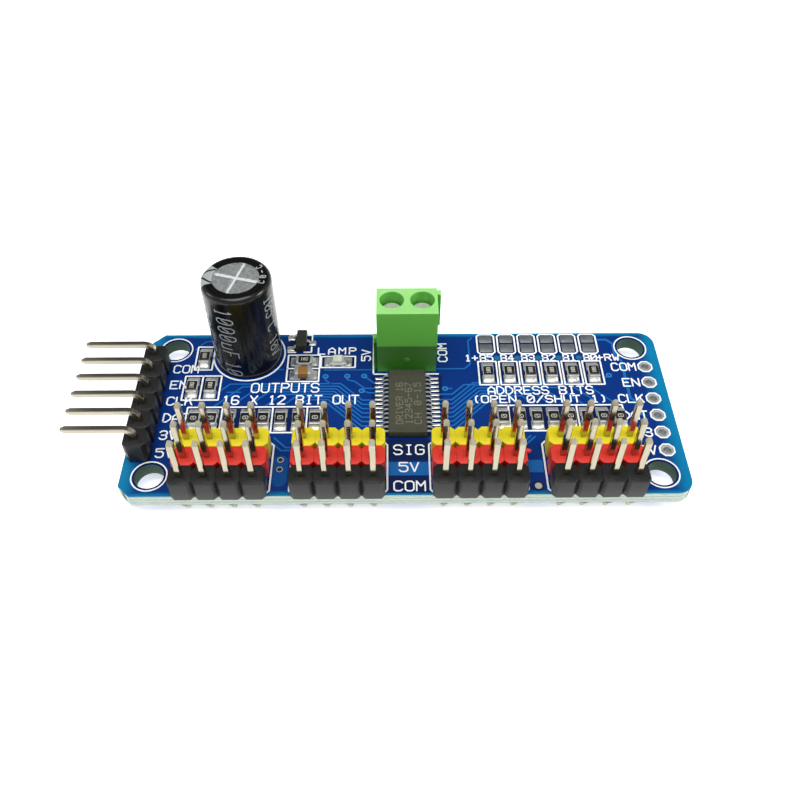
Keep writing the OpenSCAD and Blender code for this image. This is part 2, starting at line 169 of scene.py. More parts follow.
# %% Moulded nylon, polyamide and epoxy
def moulded(name, pale, deep, rough, patch, grit, dent=0.02, glow=0.0, ior=1.53, shine=0.5):
    """A moulded plastic: colour and gloss wander over `patch` mm, and grit of `grit` mm dents the skin."""
    made, tree, shader, place = start_finish(name, {
        "IOR": ior, "Subsurface Weight": glow, "Subsurface Radius": (0.4, 0.5, 0.2),
        "Subsurface Scale": 0.8 * MM, "Specular IOR Level": shine})
    broad = add(tree, "TexNoise", {"Vector": place, "Scale": per_mm(patch), "Detail": 3.0})
    mixed = add(tree, "MixRGB", {"Fac": broad.outputs["Fac"], "Color1": linear(deep), "Color2": linear(pale)})
    gloss = add(tree, "MapRange", {"Value": broad.outputs["Fac"], "To Min": rough - 0.06,
                                   "To Max": rough + 0.08})
    fine = add(tree, "TexNoise", {"Vector": place, "Scale": per_mm(grit), "Detail": 2.0})
    bump = add(tree, "Bump", {"Height": fine.outputs["Fac"], "Strength": 0.35, "Distance": dent * MM})
    tree.links.new(mixed.outputs["Color"], shader.inputs["Base Color"])
    tree.links.new(gloss.outputs["Result"], shader.inputs["Roughness"])
    tree.links.new(bump.outputs["Normal"], shader.inputs["Normal"])
    return made


yellow_nylon = moulded("moulded_yellow_nylon", "#efe012", "#decb08", 0.42, 1.6, 0.12, glow=0.1)
red_nylon = moulded("moulded_red_nylon", "#e63222", "#cc2415", 0.42, 1.6, 0.12, glow=0.1)
black_nylon = moulded("moulded_black_nylon", "#202121", "#151616", 0.4, 1.4, 0.12, shine=0.3)
black_epoxy = moulded("moulded_black_epoxy", "#46463a", "#3a3a2d", 0.55, 0.9, 0.07, dent=0.012, shine=0.3)
dark_epoxy = moulded("moulded_dark_epoxy", "#2c3028", "#20241d", 0.5, 0.9, 0.07, dent=0.012, shine=0.3)
white_laminate = moulded("pressed_white_laminate", "#e8e8de", "#d6d8cc", 0.5, 0.8, 0.1)
black_rubber = moulded("moulded_black_rubber", "#262626", "#181818", 0.7, 1.2, 0.1)
wound_paper = moulded("wound_paper_and_foil", "#c9b98c", "#a4946a", 0.6, 0.5, 0.08)
alumina = moulded("fired_alumina", "#e9e8e2", "#d8d7d0", 0.4, 0.6, 0.06, ior=1.76)
resistor_glaze = moulded("printed_black_glaze", "#1d1c1b", "#121111", 0.36, 0.5, 0.06, shine=0.3)
tan_ceramic = moulded("fired_tan_ceramic", "#9a7038", "#7d5826", 0.42, 0.5, 0.06)


def painted_notch_shade(made, left):
    """Painted shade on faces that slant in both X and Y: the notches between blocks, which see little light,
    and the cut corners at a strip's ends as well. There both parts of the normal are large, and the colour is
    painted down to the share `left`."""
    tree = made.node_tree
    shader = tree.nodes["Principled BSDF"]
    facing = add(tree, "SeparateXYZ", {"Vector": add(tree, "TexCoord").outputs["Normal"]})
    both = add(tree, "Math", {0: facing.outputs["X"], 1: facing.outputs["Y"]}, operation="MULTIPLY")
    size = add(tree, "Math", {0: both.outputs[0]}, operation="ABSOLUTE")
    share = add(tree, "MapRange", {"Value": size.outputs[0], "From Min": 0.15, "From Max": 0.4})
    plain = shader.inputs["Base Color"].links[0].from_socket
    mixed = add(tree, "MixRGB", {"Fac": share.outputs["Result"], "Color1": plain,
                                 "Color2": (left, left * 0.8, left * 0.8, 1)})
    deep = add(tree, "MixRGB", {"Fac": share.outputs["Result"], "Color1": plain}, blend_type="MULTIPLY")
    tree.links.new(mixed.outputs["Color"], deep.inputs["Color2"])
    tree.links.new(deep.outputs["Color"], shader.inputs["Base Color"])


# Painted shade in the notches, deepest on the black strips.
painted_notch_shade(black_nylon, 0.2)
painted_notch_shade(red_nylon, 0.6)
painted_notch_shade(yellow_nylon, 0.75)


def polyamide_painted_light_by_height(foot, top):
    """Green polyamide that light goes into, coloured by height with painted light and shade. The undercut
    foot is painted a deep green as painted shade, lighter again towards its base; the walls above the step,
    round the wells, are lighter; and the top face is palest, a painted sheen."""
    made = moulded("green_polyamide_painted_sheen_and_shade", "#6cc24e", "#58b23a", 0.42, 2.4, 0.16, glow=0.3)
    tree = made.node_tree
    shader = tree.nodes["Principled BSDF"]
    height = add(tree, "SeparateXYZ", {"Vector": add(tree, "TexCoord").outputs["Object"]}).outputs["Z"]
    share = add(tree, "MapRange", {"Value": height, "From Min": foot * MM, "From Max": top * MM})
    ramp = add(tree, "ValToRGB", {"Fac": share.outputs["Result"]})
    # Painted light and shade by height: a painted-shade foot, lighter walls above the step, and a painted
    # sheen on the top face.
    bands = ((0.0, "#46a81c"), (0.16, "#3b7f24"), (0.46, "#3d7629"), (0.48, "#62b844"), (0.985, "#64bb46"),
             (0.995, "#94d67b"))
    stops = ramp.color_ramp.elements
    stops[1].position = bands[-1][0]
    stops[0].color, stops[1].color = linear(bands[0][1]), linear(bands[-1][1])
    for at, tone in bands[1:-1]:
        stops.new(at).color = linear(tone)
    tree.nodes.remove(shader.inputs["Base Color"].links[0].from_node)
    tree.links.new(ramp.outputs["Color"], shader.inputs["Base Color"])
    return made


green_polyamide = polyamide_painted_light_by_height(TOP, span("terminal_housing")[1][2])
print("moulded and fired finishes:", sum(m.users == 0 for m in bpy.data.materials))

# %% [markdown]
# ## Plated and soldered metals
# Tin over brass is a warm, soft mirror: what stands in front of a pin shows in it. Solder froze in
# place, so it is lumpier and frosts a little. Both are metals, so colour sits in the reflection, and
# the default IOR stays as it is.

# %% Tin, solder, nickel, brass and aluminium
def metal(name, bright, dull, rough, spread, lump, height, stretch=(1, 1, 1)):
    """A metal skin: tone and gloss wander over `lump` mm, stretched along the way it was drawn."""
    made, tree, shader, place = start_finish(name, {"Metallic": 1.0})
    drawn = add(tree, "Mapping", {"Vector": place, "Scale": stretch})
    noise = add(tree, "TexNoise", {"Vector": drawn.outputs["Vector"], "Scale": per_mm(lump), "Detail": 3.0})
    mixed = add(tree, "MixRGB", {"Fac": noise.outputs["Fac"], "Color1": linear(dull),
                                 "Color2": linear(bright)})
    gloss = add(tree, "MapRange", {"Value": noise.outputs["Fac"], "To Min": rough, "To Max": rough + spread})
    bump = add(tree, "Bump", {"Height": noise.outputs["Fac"], "Strength": 0.5, "Distance": height * MM})
    tree.links.new(mixed.outputs["Color"], shader.inputs["Base Color"])
    tree.links.new(gloss.outputs["Result"], shader.inputs["Roughness"])
    tree.links.new(bump.outputs["Normal"], shader.inputs["Normal"])
    return made


tinned_brass = metal("tin_plated_brass", "#bcb6a2", "#a49c86", 0.1, 0.08, 0.5, 0.0012, (1, 1, 0.15))
tinned_brass_lying = metal("tin_plated_brass_lying", "#c4beae", "#a19a8a", 0.16, 0.1, 0.5, 0.004,
                           (0.15, 1, 1))
tinned_copper = metal("hot_tinned_copper", "#d9dbda", "#aeb2b3", 0.4, 0.2, 0.35, 0.02)
solder = metal("reflowed_solder", "#f6f5f0", "#b9bbb6", 0.26, 0.26, 0.4, 0.1)
pressed_brass = metal("pressed_brass", "#d9b869", "#b08d42", 0.28, 0.16, 0.6, 0.02)
zinc_steel = metal("zinc_plated_steel", "#f6f5f0", "#d2d0c8", 0.62, 0.2, 0.4, 0.02)
drawn_aluminium = metal("drawn_aluminium", "#dfe2e1", "#72797a", 0.42, 0.2, 0.3, 0.03)


def worn_tips(made, tip):
    """Coined ends are rough: the last half millimetre scatters light where the rest mirrors it."""
    tree = made.node_tree
    shader = tree.nodes["Principled BSDF"]
    height = add(tree, "SeparateXYZ", {"Vector": add(tree, "TexCoord").outputs["Object"]}).outputs["Z"]
    worn = add(tree, "MapRange", {"Value": height, "From Min": (tip - 0.6) * MM,
                                  "From Max": (tip - 0.3) * MM})
    left = add(tree, "MapRange", {"Value": worn.outputs["Result"], "To Min": 1.0, "To Max": 0.25})
    gloss = shader.inputs["Roughness"].links[0].from_socket
    rough = add(tree, "Math", {0: gloss, 1: worn.outputs["Result"]}, operation="MAXIMUM")
    tree.links.new(left.outputs["Result"], shader.inputs["Metallic"])
    tree.links.new(rough.outputs[0], shader.inputs["Roughness"])


worn_tips(tinned_brass, span("signal_pins_1")[1][2])

# %% [markdown]
# ## The board's lacquer
# The board is woven glass in epoxy under a blue solder mask. The mask is a glossy lacquer: deep blue over
# bare laminate, lighter where it runs over copper, and turning towards teal along the cut border, which is a
# painted glare. Cut edges show the pale laminate itself, and drilled walls are painted darker, a painted
# shade. The node is one solid, so one material tells these apart: by the way the face points, and by how far
# in from the outline it lies.

# %% Solder mask and laminate
def lacquer(name, deep, teal, rough=0.24, border=2.6):
    """Blue solder mask: `deep` inside, turning to the teal of a painted glare over the last `border` mm
    before the two ends, and over about a quarter of that along the two long edges."""
    made, tree, shader, place = start_finish(name, {
        "IOR": 1.5, "Specular IOR Level": 0.3})
    xyz = add(tree, "SeparateXYZ", {"Vector": place})
    ins = []
    for axis, half in (("X", BOARD_HIGH[0]), ("Y", BOARD_HIGH[1])):
        size = add(tree, "Math", {0: xyz.outputs[axis]}, operation="ABSOLUTE")
        ins.append(add(tree, "Math", {0: float(half) * MM, 1: size.outputs[0]}, operation="SUBTRACT"))
    inward = add(tree, "Math", {0: ins[0].outputs[0], 1: ins[1].outputs[0]}, operation="MINIMUM")
    narrow = add(tree, "Math", {0: ins[1].outputs[0], 1: 3.6}, operation="MULTIPLY")
    from_rim = add(tree, "Math", {0: ins[0].outputs[0], 1: narrow.outputs[0]}, operation="MINIMUM")
    broad = add(tree, "TexNoise", {"Vector": place, "Scale": per_mm(7), "Detail": 2.0})
    wander = add(tree, "MapRange", {"Value": broad.outputs["Fac"], "To Min": -1.0 * MM, "To Max": 1.0 * MM})
    reach = add(tree, "Math", {0: from_rim.outputs[0], 1: wander.outputs[0]}, operation="ADD")
    # Painted glare: the mask turns towards teal near the cut border.
    painted_glare_fade = add(tree, "MapRange", {"Value": reach.outputs[0], "From Min": 0.2 * MM, "From Max": border * MM,
                                  "To Min": 1.0, "To Max": 0.0}, interpolation_type="SMOOTHSTEP")
    mask = add(tree, "MixRGB", {"Fac": painted_glare_fade.outputs["Result"], "Color1": linear(deep),
                                "Color2": linear(teal)})
    weave = add(tree, "TexNoise", {"Vector": place, "Scale": per_mm(0.5), "Detail": 2.0})
    bump = add(tree, "Bump", {"Height": weave.outputs["Fac"], "Strength": 0.2, "Distance": 0.01 * MM})
    shader.inputs["Roughness"].default_value = rough
    tree.links.new(bump.outputs["Normal"], shader.inputs["Normal"])
    return made, tree, shader, place, inward, mask


def board_finish():
    """Solder mask on both faces, pale glass-fibre edges outside, and the walls in the drilled holes painted a
    dark green as painted shade.
    """
    made, tree, shader, place, inward, mask = lacquer("blue_solder_mask_on_glass_fibre", "#032f77", "#0578a6")
    facing = add(tree, "SeparateXYZ", {"Vector": add(tree, "TexCoord").outputs["Normal"]})
    flat = add(tree, "Math", {0: facing.outputs["Z"]}, operation="ABSOLUTE")
    is_face = add(tree, "Math", {0: flat.outputs[0], 1: 0.5}, operation="GREATER_THAN")
    plies = add(tree, "TexWave", {"Vector": place, "Scale": per_mm(1.6), "Distortion": 3.0, "Detail": 2.0,
                                  "Detail Scale": 3.0}, bands_direction="Z")
    edge = add(tree, "MixRGB", {"Fac": plies.outputs["Fac"], "Color1": linear("#9fb1aa"),
                                "Color2": linear("#c4cdbf")})
    # Painted shade: faces far in from the outline are the walls of drilled holes, painted dark green.
    painted_shade_wall = add(tree, "Math", {0: inward.outputs[0], 1: 0.45 * MM}, operation="GREATER_THAN")
    cut = add(tree, "MixRGB", {"Fac": painted_shade_wall.outputs[0], "Color1": edge.outputs["Color"],
                               "Color2": linear("#45604f")})
    skin_colour = add(tree, "MixRGB", {"Fac": is_face.outputs[0], "Color1": cut.outputs["Color"],
                                       "Color2": mask.outputs["Color"]})
    rough = add(tree, "MapRange", {"Value": is_face.outputs[0], "To Min": 0.7, "To Max": 0.26})
    tree.links.new(skin_colour.outputs["Color"], shader.inputs["Base Color"])
    tree.links.new(rough.outputs["Result"], shader.inputs["Roughness"])
    return made


def mask_finish(name, deep, teal):
    """The same lacquer, with its painted glare at the border, on a raised track or over a bare window, in its
    own blues.
    """
    made, tree, shader, _, _, mask = lacquer(name, deep, teal)
    tree.links.new(mask.outputs["Color"], shader.inputs["Base Color"])
    return made


board_lacquer = board_finish()
mask_over_copper = mask_finish("blue_solder_mask_over_copper", "#1c64ac", "#2088b4")
mask_over_bare = mask_finish("blue_solder_mask_over_bare_glass", "#0b1f50", "#0c2a5c")
mask_over_via = mask_finish("blue_solder_mask_over_via", "#17688e", "#1a7fa0")
mask_over_land = mask_finish("blue_solder_mask_over_land", "#0b4a8c", "#0f6298")

# %% [markdown]
# ## Inks, film and clear resin
# Labels are white epoxy ink, a hair thick and slightly chalky. The capacitor's sleeve is plastic film
# shrunk on with hot air, so it is very glossy and ripples a little. The lamp's lens is clear resin.

# %% Print, sleeve and lens
white_ink = moulded("screened_white_epoxy_ink", "#ffffff", "#f2f6f7", 0.6, 0.5, 0.06, dent=0.006)
grey_ink = moulded("printed_grey_ink", "#adb2b3", "#8f9698", 0.4, 0.6, 0.08, dent=0.004)
pale_mark = moulded("laser_mark_in_epoxy", "#747160", "#646150", 0.6, 0.5, 0.06, dent=0.004)
pale_glaze = moulded("printed_pale_value", "#d2d2c6", "#b9b9ac", 0.5, 0.5, 0.06, dent=0.004)
# This black ink prints the capacitor's arrows, and also serves as painted shade in the two open via bores.
black_ink_and_hole_shade = moulded("printed_black_ink_and_painted_hole_shade", "#17181a", "#0e0f10", 0.35, 0.8, 0.1, dent=0.004)


def sleeve_finish():
    """Glossy black film: a low roughness, and long shallow ripples up the can."""
    made, tree, shader, place = start_finish("shrunk_black_film", {
        "Base Color": linear("#080809"), "Roughness": 0.2, "IOR": 1.5, "Specular IOR Level": 0.4})
    drawn = add(tree, "Mapping", {"Vector": place, "Scale": (1, 1, 0.3)})
    ripple = add(tree, "TexNoise", {"Vector": drawn.outputs["Vector"], "Scale": per_mm(1.5), "Detail": 2.0})
    bump = add(tree, "Bump", {"Height": ripple.outputs["Fac"], "Strength": 0.35, "Distance": 0.06 * MM})
    tree.links.new(bump.outputs["Normal"], shader.inputs["Normal"])
    return made


def lens_finish():
    """Clear resin over a white cup, a little cloudy, with the crystal's greenish cast."""
    made, tree, shader, place = start_finish("clear_moulded_epoxy", {
        "IOR": 1.54, "Transmission Weight": 0.12, "Roughness": 0.16, "Subsurface Weight": 0.3,
        "Subsurface Scale": 0.4 * MM})
    cloud = add(tree, "TexNoise", {"Vector": place, "Scale": per_mm(0.5), "Detail": 2.0})
    mixed = add(tree, "MixRGB", {"Fac": cloud.outputs["Fac"], "Color1": linear("#d3dabf"),
                                 "Color2": linear("#f4f6ea")})
    tree.links.new(mixed.outputs["Color"], shader.inputs["Base Color"])
    return made


black_film = sleeve_finish()
clear_epoxy = lens_finish()
print("materials so far:", len(bpy.data.materials))

# %% [markdown]
# ## Skins: from rings of points to a mesh
# Almost every part of a circuit board is a section carried along a path: a strip's outline carried
# up, a square wire carried round a bend, a solder cone's outline turned about a pin. Each is a pile of
# rings with the same number of points, so one function can join any of them, many copies at a time.

# %% Rings, outlines and pieces
def skin(rings, ends="capped"):
    """Joins each ring to the next with quads. rings is (..., rings, points, 3): the leading axes are
    copies. A ring runs anticlockwise seen from the end of the path. ends is capped, or joined where the
    last ring meets the first again. A cap is a ladder of quads, point i joined to point n - 1 - i, or one
    face where n is odd. Returns the points and the tables of faces, walls first."""
    rings = np.asarray(rings, float)
    m, n = rings.shape[-3:-1]
    copies = rings.reshape(-1, m, n, 3)
    at = np.arange(copies.size // 3).reshape(-1, m, n)
    here, there = (at, np.roll(at, -1, axis=1)) if ends == "joined" else (at[:, :-1], at[:, 1:])
    quads = np.stack([here, np.roll(here, -1, axis=2), np.roll(there, -1, axis=2), there], axis=-1)
    tables = [quads.reshape(-1, 4)]
    if ends == "capped":
        for ring in (at[:, 0, ::-1], at[:, -1]):
            i = np.arange(n // 2 - 1)
            rungs = ring[:, np.stack([i, i + 1, n - 2 - i, n - 1 - i], axis=-1)].reshape(-1, 4)
            tables.append(ring if n % 2 else rungs)
    return copies.reshape(-1, 3), tables


def outline(width, depth, cut, steps=1):
    """A rectangle about the origin, anticlockwise, with its corners cut or rounded by `cut`."""
    turn = np.radians(np.arange(4)[:, None] * 90 + np.linspace(0, 90, steps + 1))
    corner = np.array([[1, 1], [-1, 1], [-1, -1], [1, -1]])[:, None] * [width / 2 - cut, depth / 2 - cut]
    return (corner + cut * np.stack([np.cos(turn), np.sin(turn)], axis=-1)).reshape(-1, 2)


def circle(radius, points):
    """Points on a circle: radius times (cos, sin) of equal steps of angle."""
    turn = np.linspace(0, 2 * np.pi, points, endpoint=False)
    return radius * np.stack([np.cos(turn), np.sin(turn)], axis=-1)


def inset(loop, by):
    """Each corner of a closed outline moved in along its mitre: (n1 + n2) / (1 + n1.n2) times `by`."""
    edge = np.roll(loop, -1, axis=0) - loop
    inward = np.stack([-edge[:, 1], edge[:, 0]], axis=-1) / np.linalg.norm(edge, axis=1, keepdims=True)
    before = np.roll(inward, 1, axis=0)
    share = 1 + (inward * before).sum(axis=1, keepdims=True)
    return loop + by * (inward + before) / share


def carried_up(loop, profile):
    """Rings of one outline at each (height, inset) of a profile."""
    return np.stack([np.column_stack([inset(loop, by), np.full(len(loop), z)]) for z, by in profile])


def soft_edges(low, high, under, over, steps=3):
    """A profile from low to high whose two edges are quarter rounds of radius `under` and `over`."""
    t = np.radians(np.linspace(0, 90, steps + 1))
    foot = np.stack([low + under * (1 - np.cos(t)), under * (1 - np.sin(t))], axis=-1)
    head = np.stack([high - over * (1 - np.sin(t)), over * (1 - np.cos(t))], axis=-1)
    return np.concatenate([foot, head])


def turned(rings, degrees):
    """Rings turned about Z."""
    c, s = math.cos(math.radians(degrees)), math.sin(math.radians(degrees))
    return np.asarray(rings) @ np.array([[c, s, 0], [-s, c, 0], [0, 0, 1]])


def at_places(rings, places):
    """A copy of the rings at every place."""
    return np.asarray(rings) + np.asarray(places, float).reshape(-1, 1, 1, 3)


def piece(name, parts, replaces=(), body="board", crease=32):
    """Makes one named object from (skin, material) pairs, in metres, and puts it on its body. Walls are
    shaded round, up to the crease angle, and caps flat."""
    points, faces, marks, round_faces, finishes, start = [], [], [], [], [], 0
    for (verts, tables), finish in parts:
        if finish not in finishes:
            finishes.append(finish)
        for table in tables:
            faces += (table + start).tolist()
            marks += [finishes.index(finish)] * len(table)
            round_faces += [table is tables[0]] * len(table)
        points.append(verts)
        start += len(verts)
    mesh = bpy.data.meshes.new(name)
    mesh.from_pydata((np.concatenate(points) * MM).tolist(), [], faces)
    for finish in finishes:
        mesh.materials.append(finish)
    mesh.polygons.foreach_set("material_index", marks)
    mesh.polygons.foreach_set("use_smooth", round_faces)
    mesh.set_sharp_from_angle(angle=math.radians(crease))
    made = bpy.data.objects.new(name, mesh)
    bpy.context.scene.collection.objects.link(made)
    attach(made, body)
    if replaces:
        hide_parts(*replaces)
    return made

# %% [markdown]
# ## Header strips
# A breakaway strip is a chain of eight-sided blocks, one to each pin, joined by a neck that snaps.
# Each block is an octagon carried up a profile with rounded edges, and its top sinks a little where
# the pin comes through. The neck is a plainer bar inside, a touch lower, so a groove shows between.

# %% Strips
SEGMENT = 2.54


def strip_segment(low, high):
    """An octagon carried from low to high, then in over the top and down into a small well."""
    loop = outline(SEGMENT - 0.01, SEGMENT - 0.02, 0.42, 1)
    profile = [*soft_edges(low, high, 0.08, 0.09), (high, 0.75), (high - 0.12, 0.83)]
    return carried_up(loop, profile)


def strip_piece(name, node, count, finish, along=0):
    """A strip of `count` blocks where a node has it, with the necks as one bar through them."""
    low, high = span(node)
    middle = (low + high) / 2
    steps = row_in(node, count, along)
    places = np.zeros((count, 3))
    places[:, 0], places[:, 1] = middle[0], middle[1]
    places[:, along] = steps
    size = [SEGMENT - 0.95, SEGMENT - 0.95]
    size[along] = high[along] - low[along] - 0.5
    neck = carried_up(outline(*size, 0.1), soft_edges(low[2] + 0.15, high[2] - 0.05, 0.05, 0.05, 1))
    parts = [(skin(at_places(strip_segment(low[2], high[2]), places)), finish),
             (skin(at_places(neck, [[middle[0], middle[1], 0]])), finish)]
    return piece(name, parts, [node])


ROWS = (("signal", "yellow", yellow_nylon), ("supply", "red", red_nylon), ("ground", "black", black_nylon))
for row, tint, finish in ROWS:
    for n in range(1, 5):
        strip_piece(f"{tint}_strip_{n}", f"{row}_strip_{n}", 4, finish)
strip_piece("input_black_strip", "input_strip", 6, black_nylon, along=1)
print("header strips: 12 of four ways and one of six")

# %% [markdown]
# ## Pins
# A header pin is drawn square wire, 0.64 mm, with its corners just broken and its ends coined to a
# blunt point. Upright ones are a section carried up; the input pins follow a quarter bend. The same
# small section serves both, and only the path differs.

# %% Pins
WIRE = 0.64


def wire_section(scale):
    """The wire's section, a square with 0.07 mm broken corners, at each of several sizes."""
    return np.asarray(scale)[:, None, None] * outline(WIRE, WIRE, 0.07)


def upright_pins(low, high):
    """Rings up a straight pin: coined tip, full wire, coined tip."""
    z = np.array([low, low + 0.06, low + 0.4, high - 0.36, high - 0.06, high])
    flat = wire_section([0.56, 0.66, 1, 1, 0.66, 0.56])
    return np.concatenate([flat, np.broadcast_to(z[:, None, None], (*flat.shape[:2], 1))], axis=-1)


for row, tint, _ in ROWS:
    for n in range(1, 5):
        low, high = span(f"{row}_pins_{n}")
        x = row_in(f"{row}_strip_{n}", 4)
        places = np.column_stack([x, np.full(4, (low[1] + high[1]) / 2), np.zeros(4)])
        rings = at_places(upright_pins(low[2], high[2]), places)
        piece(f"{row}_pin_set_{n}", [(skin(rings), tinned_brass)], [f"{row}_pins_{n}"])


def bent_pin(low, high, foot_x, bend=1.0):
    """Square wire carried up from the tail, round a quarter bend of radius `bend`, and level to its end.
    The section's own axes turn with the path, so it stays square to it all the way."""
    level = high[2] - WIRE / 2
    turn = np.radians(np.linspace(0, 90, 9))
    arc = np.stack([foot_x - bend * (1 - np.cos(turn)), np.zeros(9), level - bend * (1 - np.sin(turn))],
                   axis=-1)
    rise = np.array([[foot_x, 0, low[2]], [foot_x, 0, low[2] + 0.1], [foot_x, 0, low[2] + 0.5]])
    end = low[0]
    run = np.array([[end + 0.48, 0, level], [end + 0.1, 0, level], [end, 0, level]])
    path = np.concatenate([rise, arc, run])
    lean = np.concatenate([np.zeros(3), turn, np.full(3, np.pi / 2)])[:, None]
    zero = np.zeros_like(lean)
    inner = np.concatenate([np.cos(lean), zero, np.sin(lean)], axis=1)
    size = np.ones(len(path))
    size[[0, 1, -2, -1]] = [0.56, 0.66, 0.66, 0.56]
    flat = wire_section(size)
    return path[:, None] + flat[..., :1] * inner[:, None] + flat[..., 1:] * np.array([0, 1, 0])


pin_low, pin_high = span("input_pins")
strip_low, strip_high = span("input_strip")
foot_x = (strip_low[0] + strip_high[0]) / 2
input_y = row_in("input_strip", 6, 1)
places = np.column_stack([np.zeros(6), input_y, np.zeros(6)])
piece("input_pin_set", [(skin(at_places(bent_pin(pin_low, pin_high, foot_x), places)), tinned_brass_lying)],
      ["input_pins"])
print("pins: 48 upright and 6 bent")

# %% [markdown]
# ## Solder joints and plated holes
# Molten solder climbs a pin and leaves a hollow-sided cone on its land. That is a curve turned about
# the pin: the radius falls fast near the land and slowly near the tip. The spare holes have
# eight-sided lands, so their rings change from an octagon outside to a circle at the bore.

# %% Solder joints
def solder_cones(places, land, tip, high):
    """Hollow cones hanging under the board: r = tip + (land - tip) * (1 - t)^2 at t of the height."""
    t = np.linspace(1, 0, 7)
    radius = tip + (land - tip) * (1 - t) ** 2
    z = -high * t
    rings = np.stack([np.column_stack([circle(r, 16), np.full(16, h)]) for r, h in zip(radius, z)])
    return skin(at_places(rings, places))


pin_places = [(x, (span(f"{row}_pins_{n}")[0][1] + WIRE / 2), 0)
              for row, _, _ in ROWS for n in range(1, 5) for x in row_in(f"{row}_strip_{n}", 4)]
pin_places += [(foot_x, y, 0) for y in input_y]
tag_places = [((span(f"{side}_contact_tag")[0][0] + span(f"{side}_contact_tag")[1][0]) / 2,
               span(f"{side}_contact_tag")[0][1] + 0.2, 0) for side in ("left", "right")]
can_low, can_high = span("capacitor_can")
CAN_X, CAN_Y = (can_low + can_high)[:2] / 2
lead_places = [(CAN_X + dx, CAN_Y, 0) for dx in (-1.75, 1.75)]
piece("solder_joints_below", [
    (solder_cones(pin_places, 0.92, 0.4, 0.85), solder),
    (solder_cones(tag_places, 1.05, 0.5, 0.85), solder),
    (solder_cones(lead_places, 0.95, 0.34, 0.85), solder)], ["header_solder_joints"])
print("solder joints:", len(pin_places) + len(tag_places) + len(lead_places))

# %% Spare plated holes
def plated_hole(low, high, bore, flats):
    """A joined tube: octagonal rim outside, a domed land, a round bore, and the same below."""
    n = 48
    turn = np.linspace(0, 2 * np.pi, n, endpoint=False)
    lean = np.abs((turn + np.pi / 8) % (np.pi / 4) - np.pi / 8)
    eight = flats / 2 / np.cos(lean)
    wide = [(1, low), (1, high - 0.02), (0.93, high), (0.5, high + 0.02), (0.12, high), (0, high - 0.05)]
    wide += [(0, low + 0.05), (0.12, low), (0.93, low)]
    rings = []
    for share, z in wide:
        radius = bore / 2 + share * (eight - bore / 2)
        rings.append(np.column_stack([radius * np.cos(turn), radius * np.sin(turn), np.full(n, z)]))
    return np.stack(rings)


eye_low, eye_high = span("spare_input_eyelets")
eye_x = (eye_low[0] + eye_high[0]) / 2
land = float(eye_high[0] - eye_low[0])
eye_y = np.linspace(eye_low[1] + land / 2, eye_high[1] - land / 2, 6)
upper = plated_hole(TOP - 0.02, eye_high[2] - 0.02, 0.9, land)
lower = plated_hole(eye_low[2] + 0.02, 0.02, 0.9, land)
barrel = np.stack([np.column_stack([circle(r, 48), np.full(48, z)]) for r, z in
                   ((0.52, 0.0), (0.52, TOP), (0.44, TOP), (0.44, 0.0))])
eye_places = np.column_stack([np.full(6, eye_x), eye_y, np.zeros(6)])
piece("spare_hole_lands", [(skin(at_places(r, eye_places), "joined"), tinned_copper)
                           for r in (upper, lower, barrel)], ["spare_input_eyelets"])

# %% [markdown]
# ## Small chip parts
# A resistor chip is white alumina with a black glazed film on top and tinned ends that wrap round it.
# Solder rises up each end in a hollow slope from a land a little wider than the part. Every part
# lies along Y here and is turned where the board has it across.

# %% Chip parts
def end_caps(long, wide, high, reach):
    """Two wrapped ends: soft-edged blocks slightly proud of the body."""
    profile = soft_edges(TOP + 0.02, TOP + high + 0.03, 0.03, 0.07, 2)
    cap = carried_up(outline(wide + 0.04, reach, 0.07), profile)
    return np.stack([cap + [0, s * (long - reach) / 2, 0] for s in (1, -1)])


def solder_slopes(long, wide, high, run):
    """A hollow slope at each end. Side on it is a curve, z = rise * (1 - t)^2, carried across the part
    with its two sides drawn in, so the edge of the pool is round."""
    t = np.linspace(0, 1, 6)
    slope = np.stack([t * run, 0.05 + (high * 0.8 - 0.05) * (1 - t) ** 2], axis=-1)
    side = np.concatenate([[[-0.1, 0.0]], [[run, 0.0]], slope[::-1], [[-0.1, slope[0, 1]]]])
    stations = np.array([-0.5, -0.44, -0.25, 0.25, 0.44, 0.5]) * wide
    swell = np.array([0.62, 0.86, 1.0, 1.0, 0.86, 0.62])
    ring = side[None] * swell[:, None, None]
    x = np.broadcast_to(stations[:, None, None], (*ring.shape[:2], 1))
    rings = np.concatenate([x, ring[..., :1] + long / 2, ring[..., 1:] + TOP + 0.01], axis=-1)
    return np.stack([rings, turned(rings, 180)])


def lands(long, wide, run, seam=0.02):
    """The two tinned lands under a part's ends, thin and soft-edged."""
    size = run + 0.75
    land = carried_up(outline(wide + 0.2, size, 0.08), soft_edges(TOP, TOP + 0.035, 0.0, seam, 1))
    return np.stack([land + [0, s * (long / 2 + run - size / 2 + 0.08), 0] for s in (1, -1)])


def chip_parts(places, long, wide, high, body, film=None, across=False, run=0.58, reach=0.36):
    """All parts of one kind: body, film, wrapped ends, solder and lands, at their places."""
    turn = 90 if across else 0
    core = carried_up(outline(wide, long - 0.1, 0.05), soft_edges(TOP + 0.03, TOP + high, 0.03, 0.05, 2))
    groups = [(core, body)]
    if film:
        top = carried_up(outline(wide - 0.06, long - 2 * reach + 0.14, 0.06),
                         soft_edges(TOP + high - 0.02, TOP + high + 0.035, 0.0, 0.03, 2))
        groups.append((top, film))
    ends = [(part, tinned_copper) for part in end_caps(long, wide, high, reach)]
    ends += [(part, solder) for part in solder_slopes(long, wide, high, run)]
    ends += [(part, tinned_copper) for part in lands(long, wide, run)]
    lift = [(skin(at_places(turned(r, turn), places)), f) for r, f in groups]
    return lift, [(skin(at_places(turned(r, turn), places)), f) for r, f in ends]


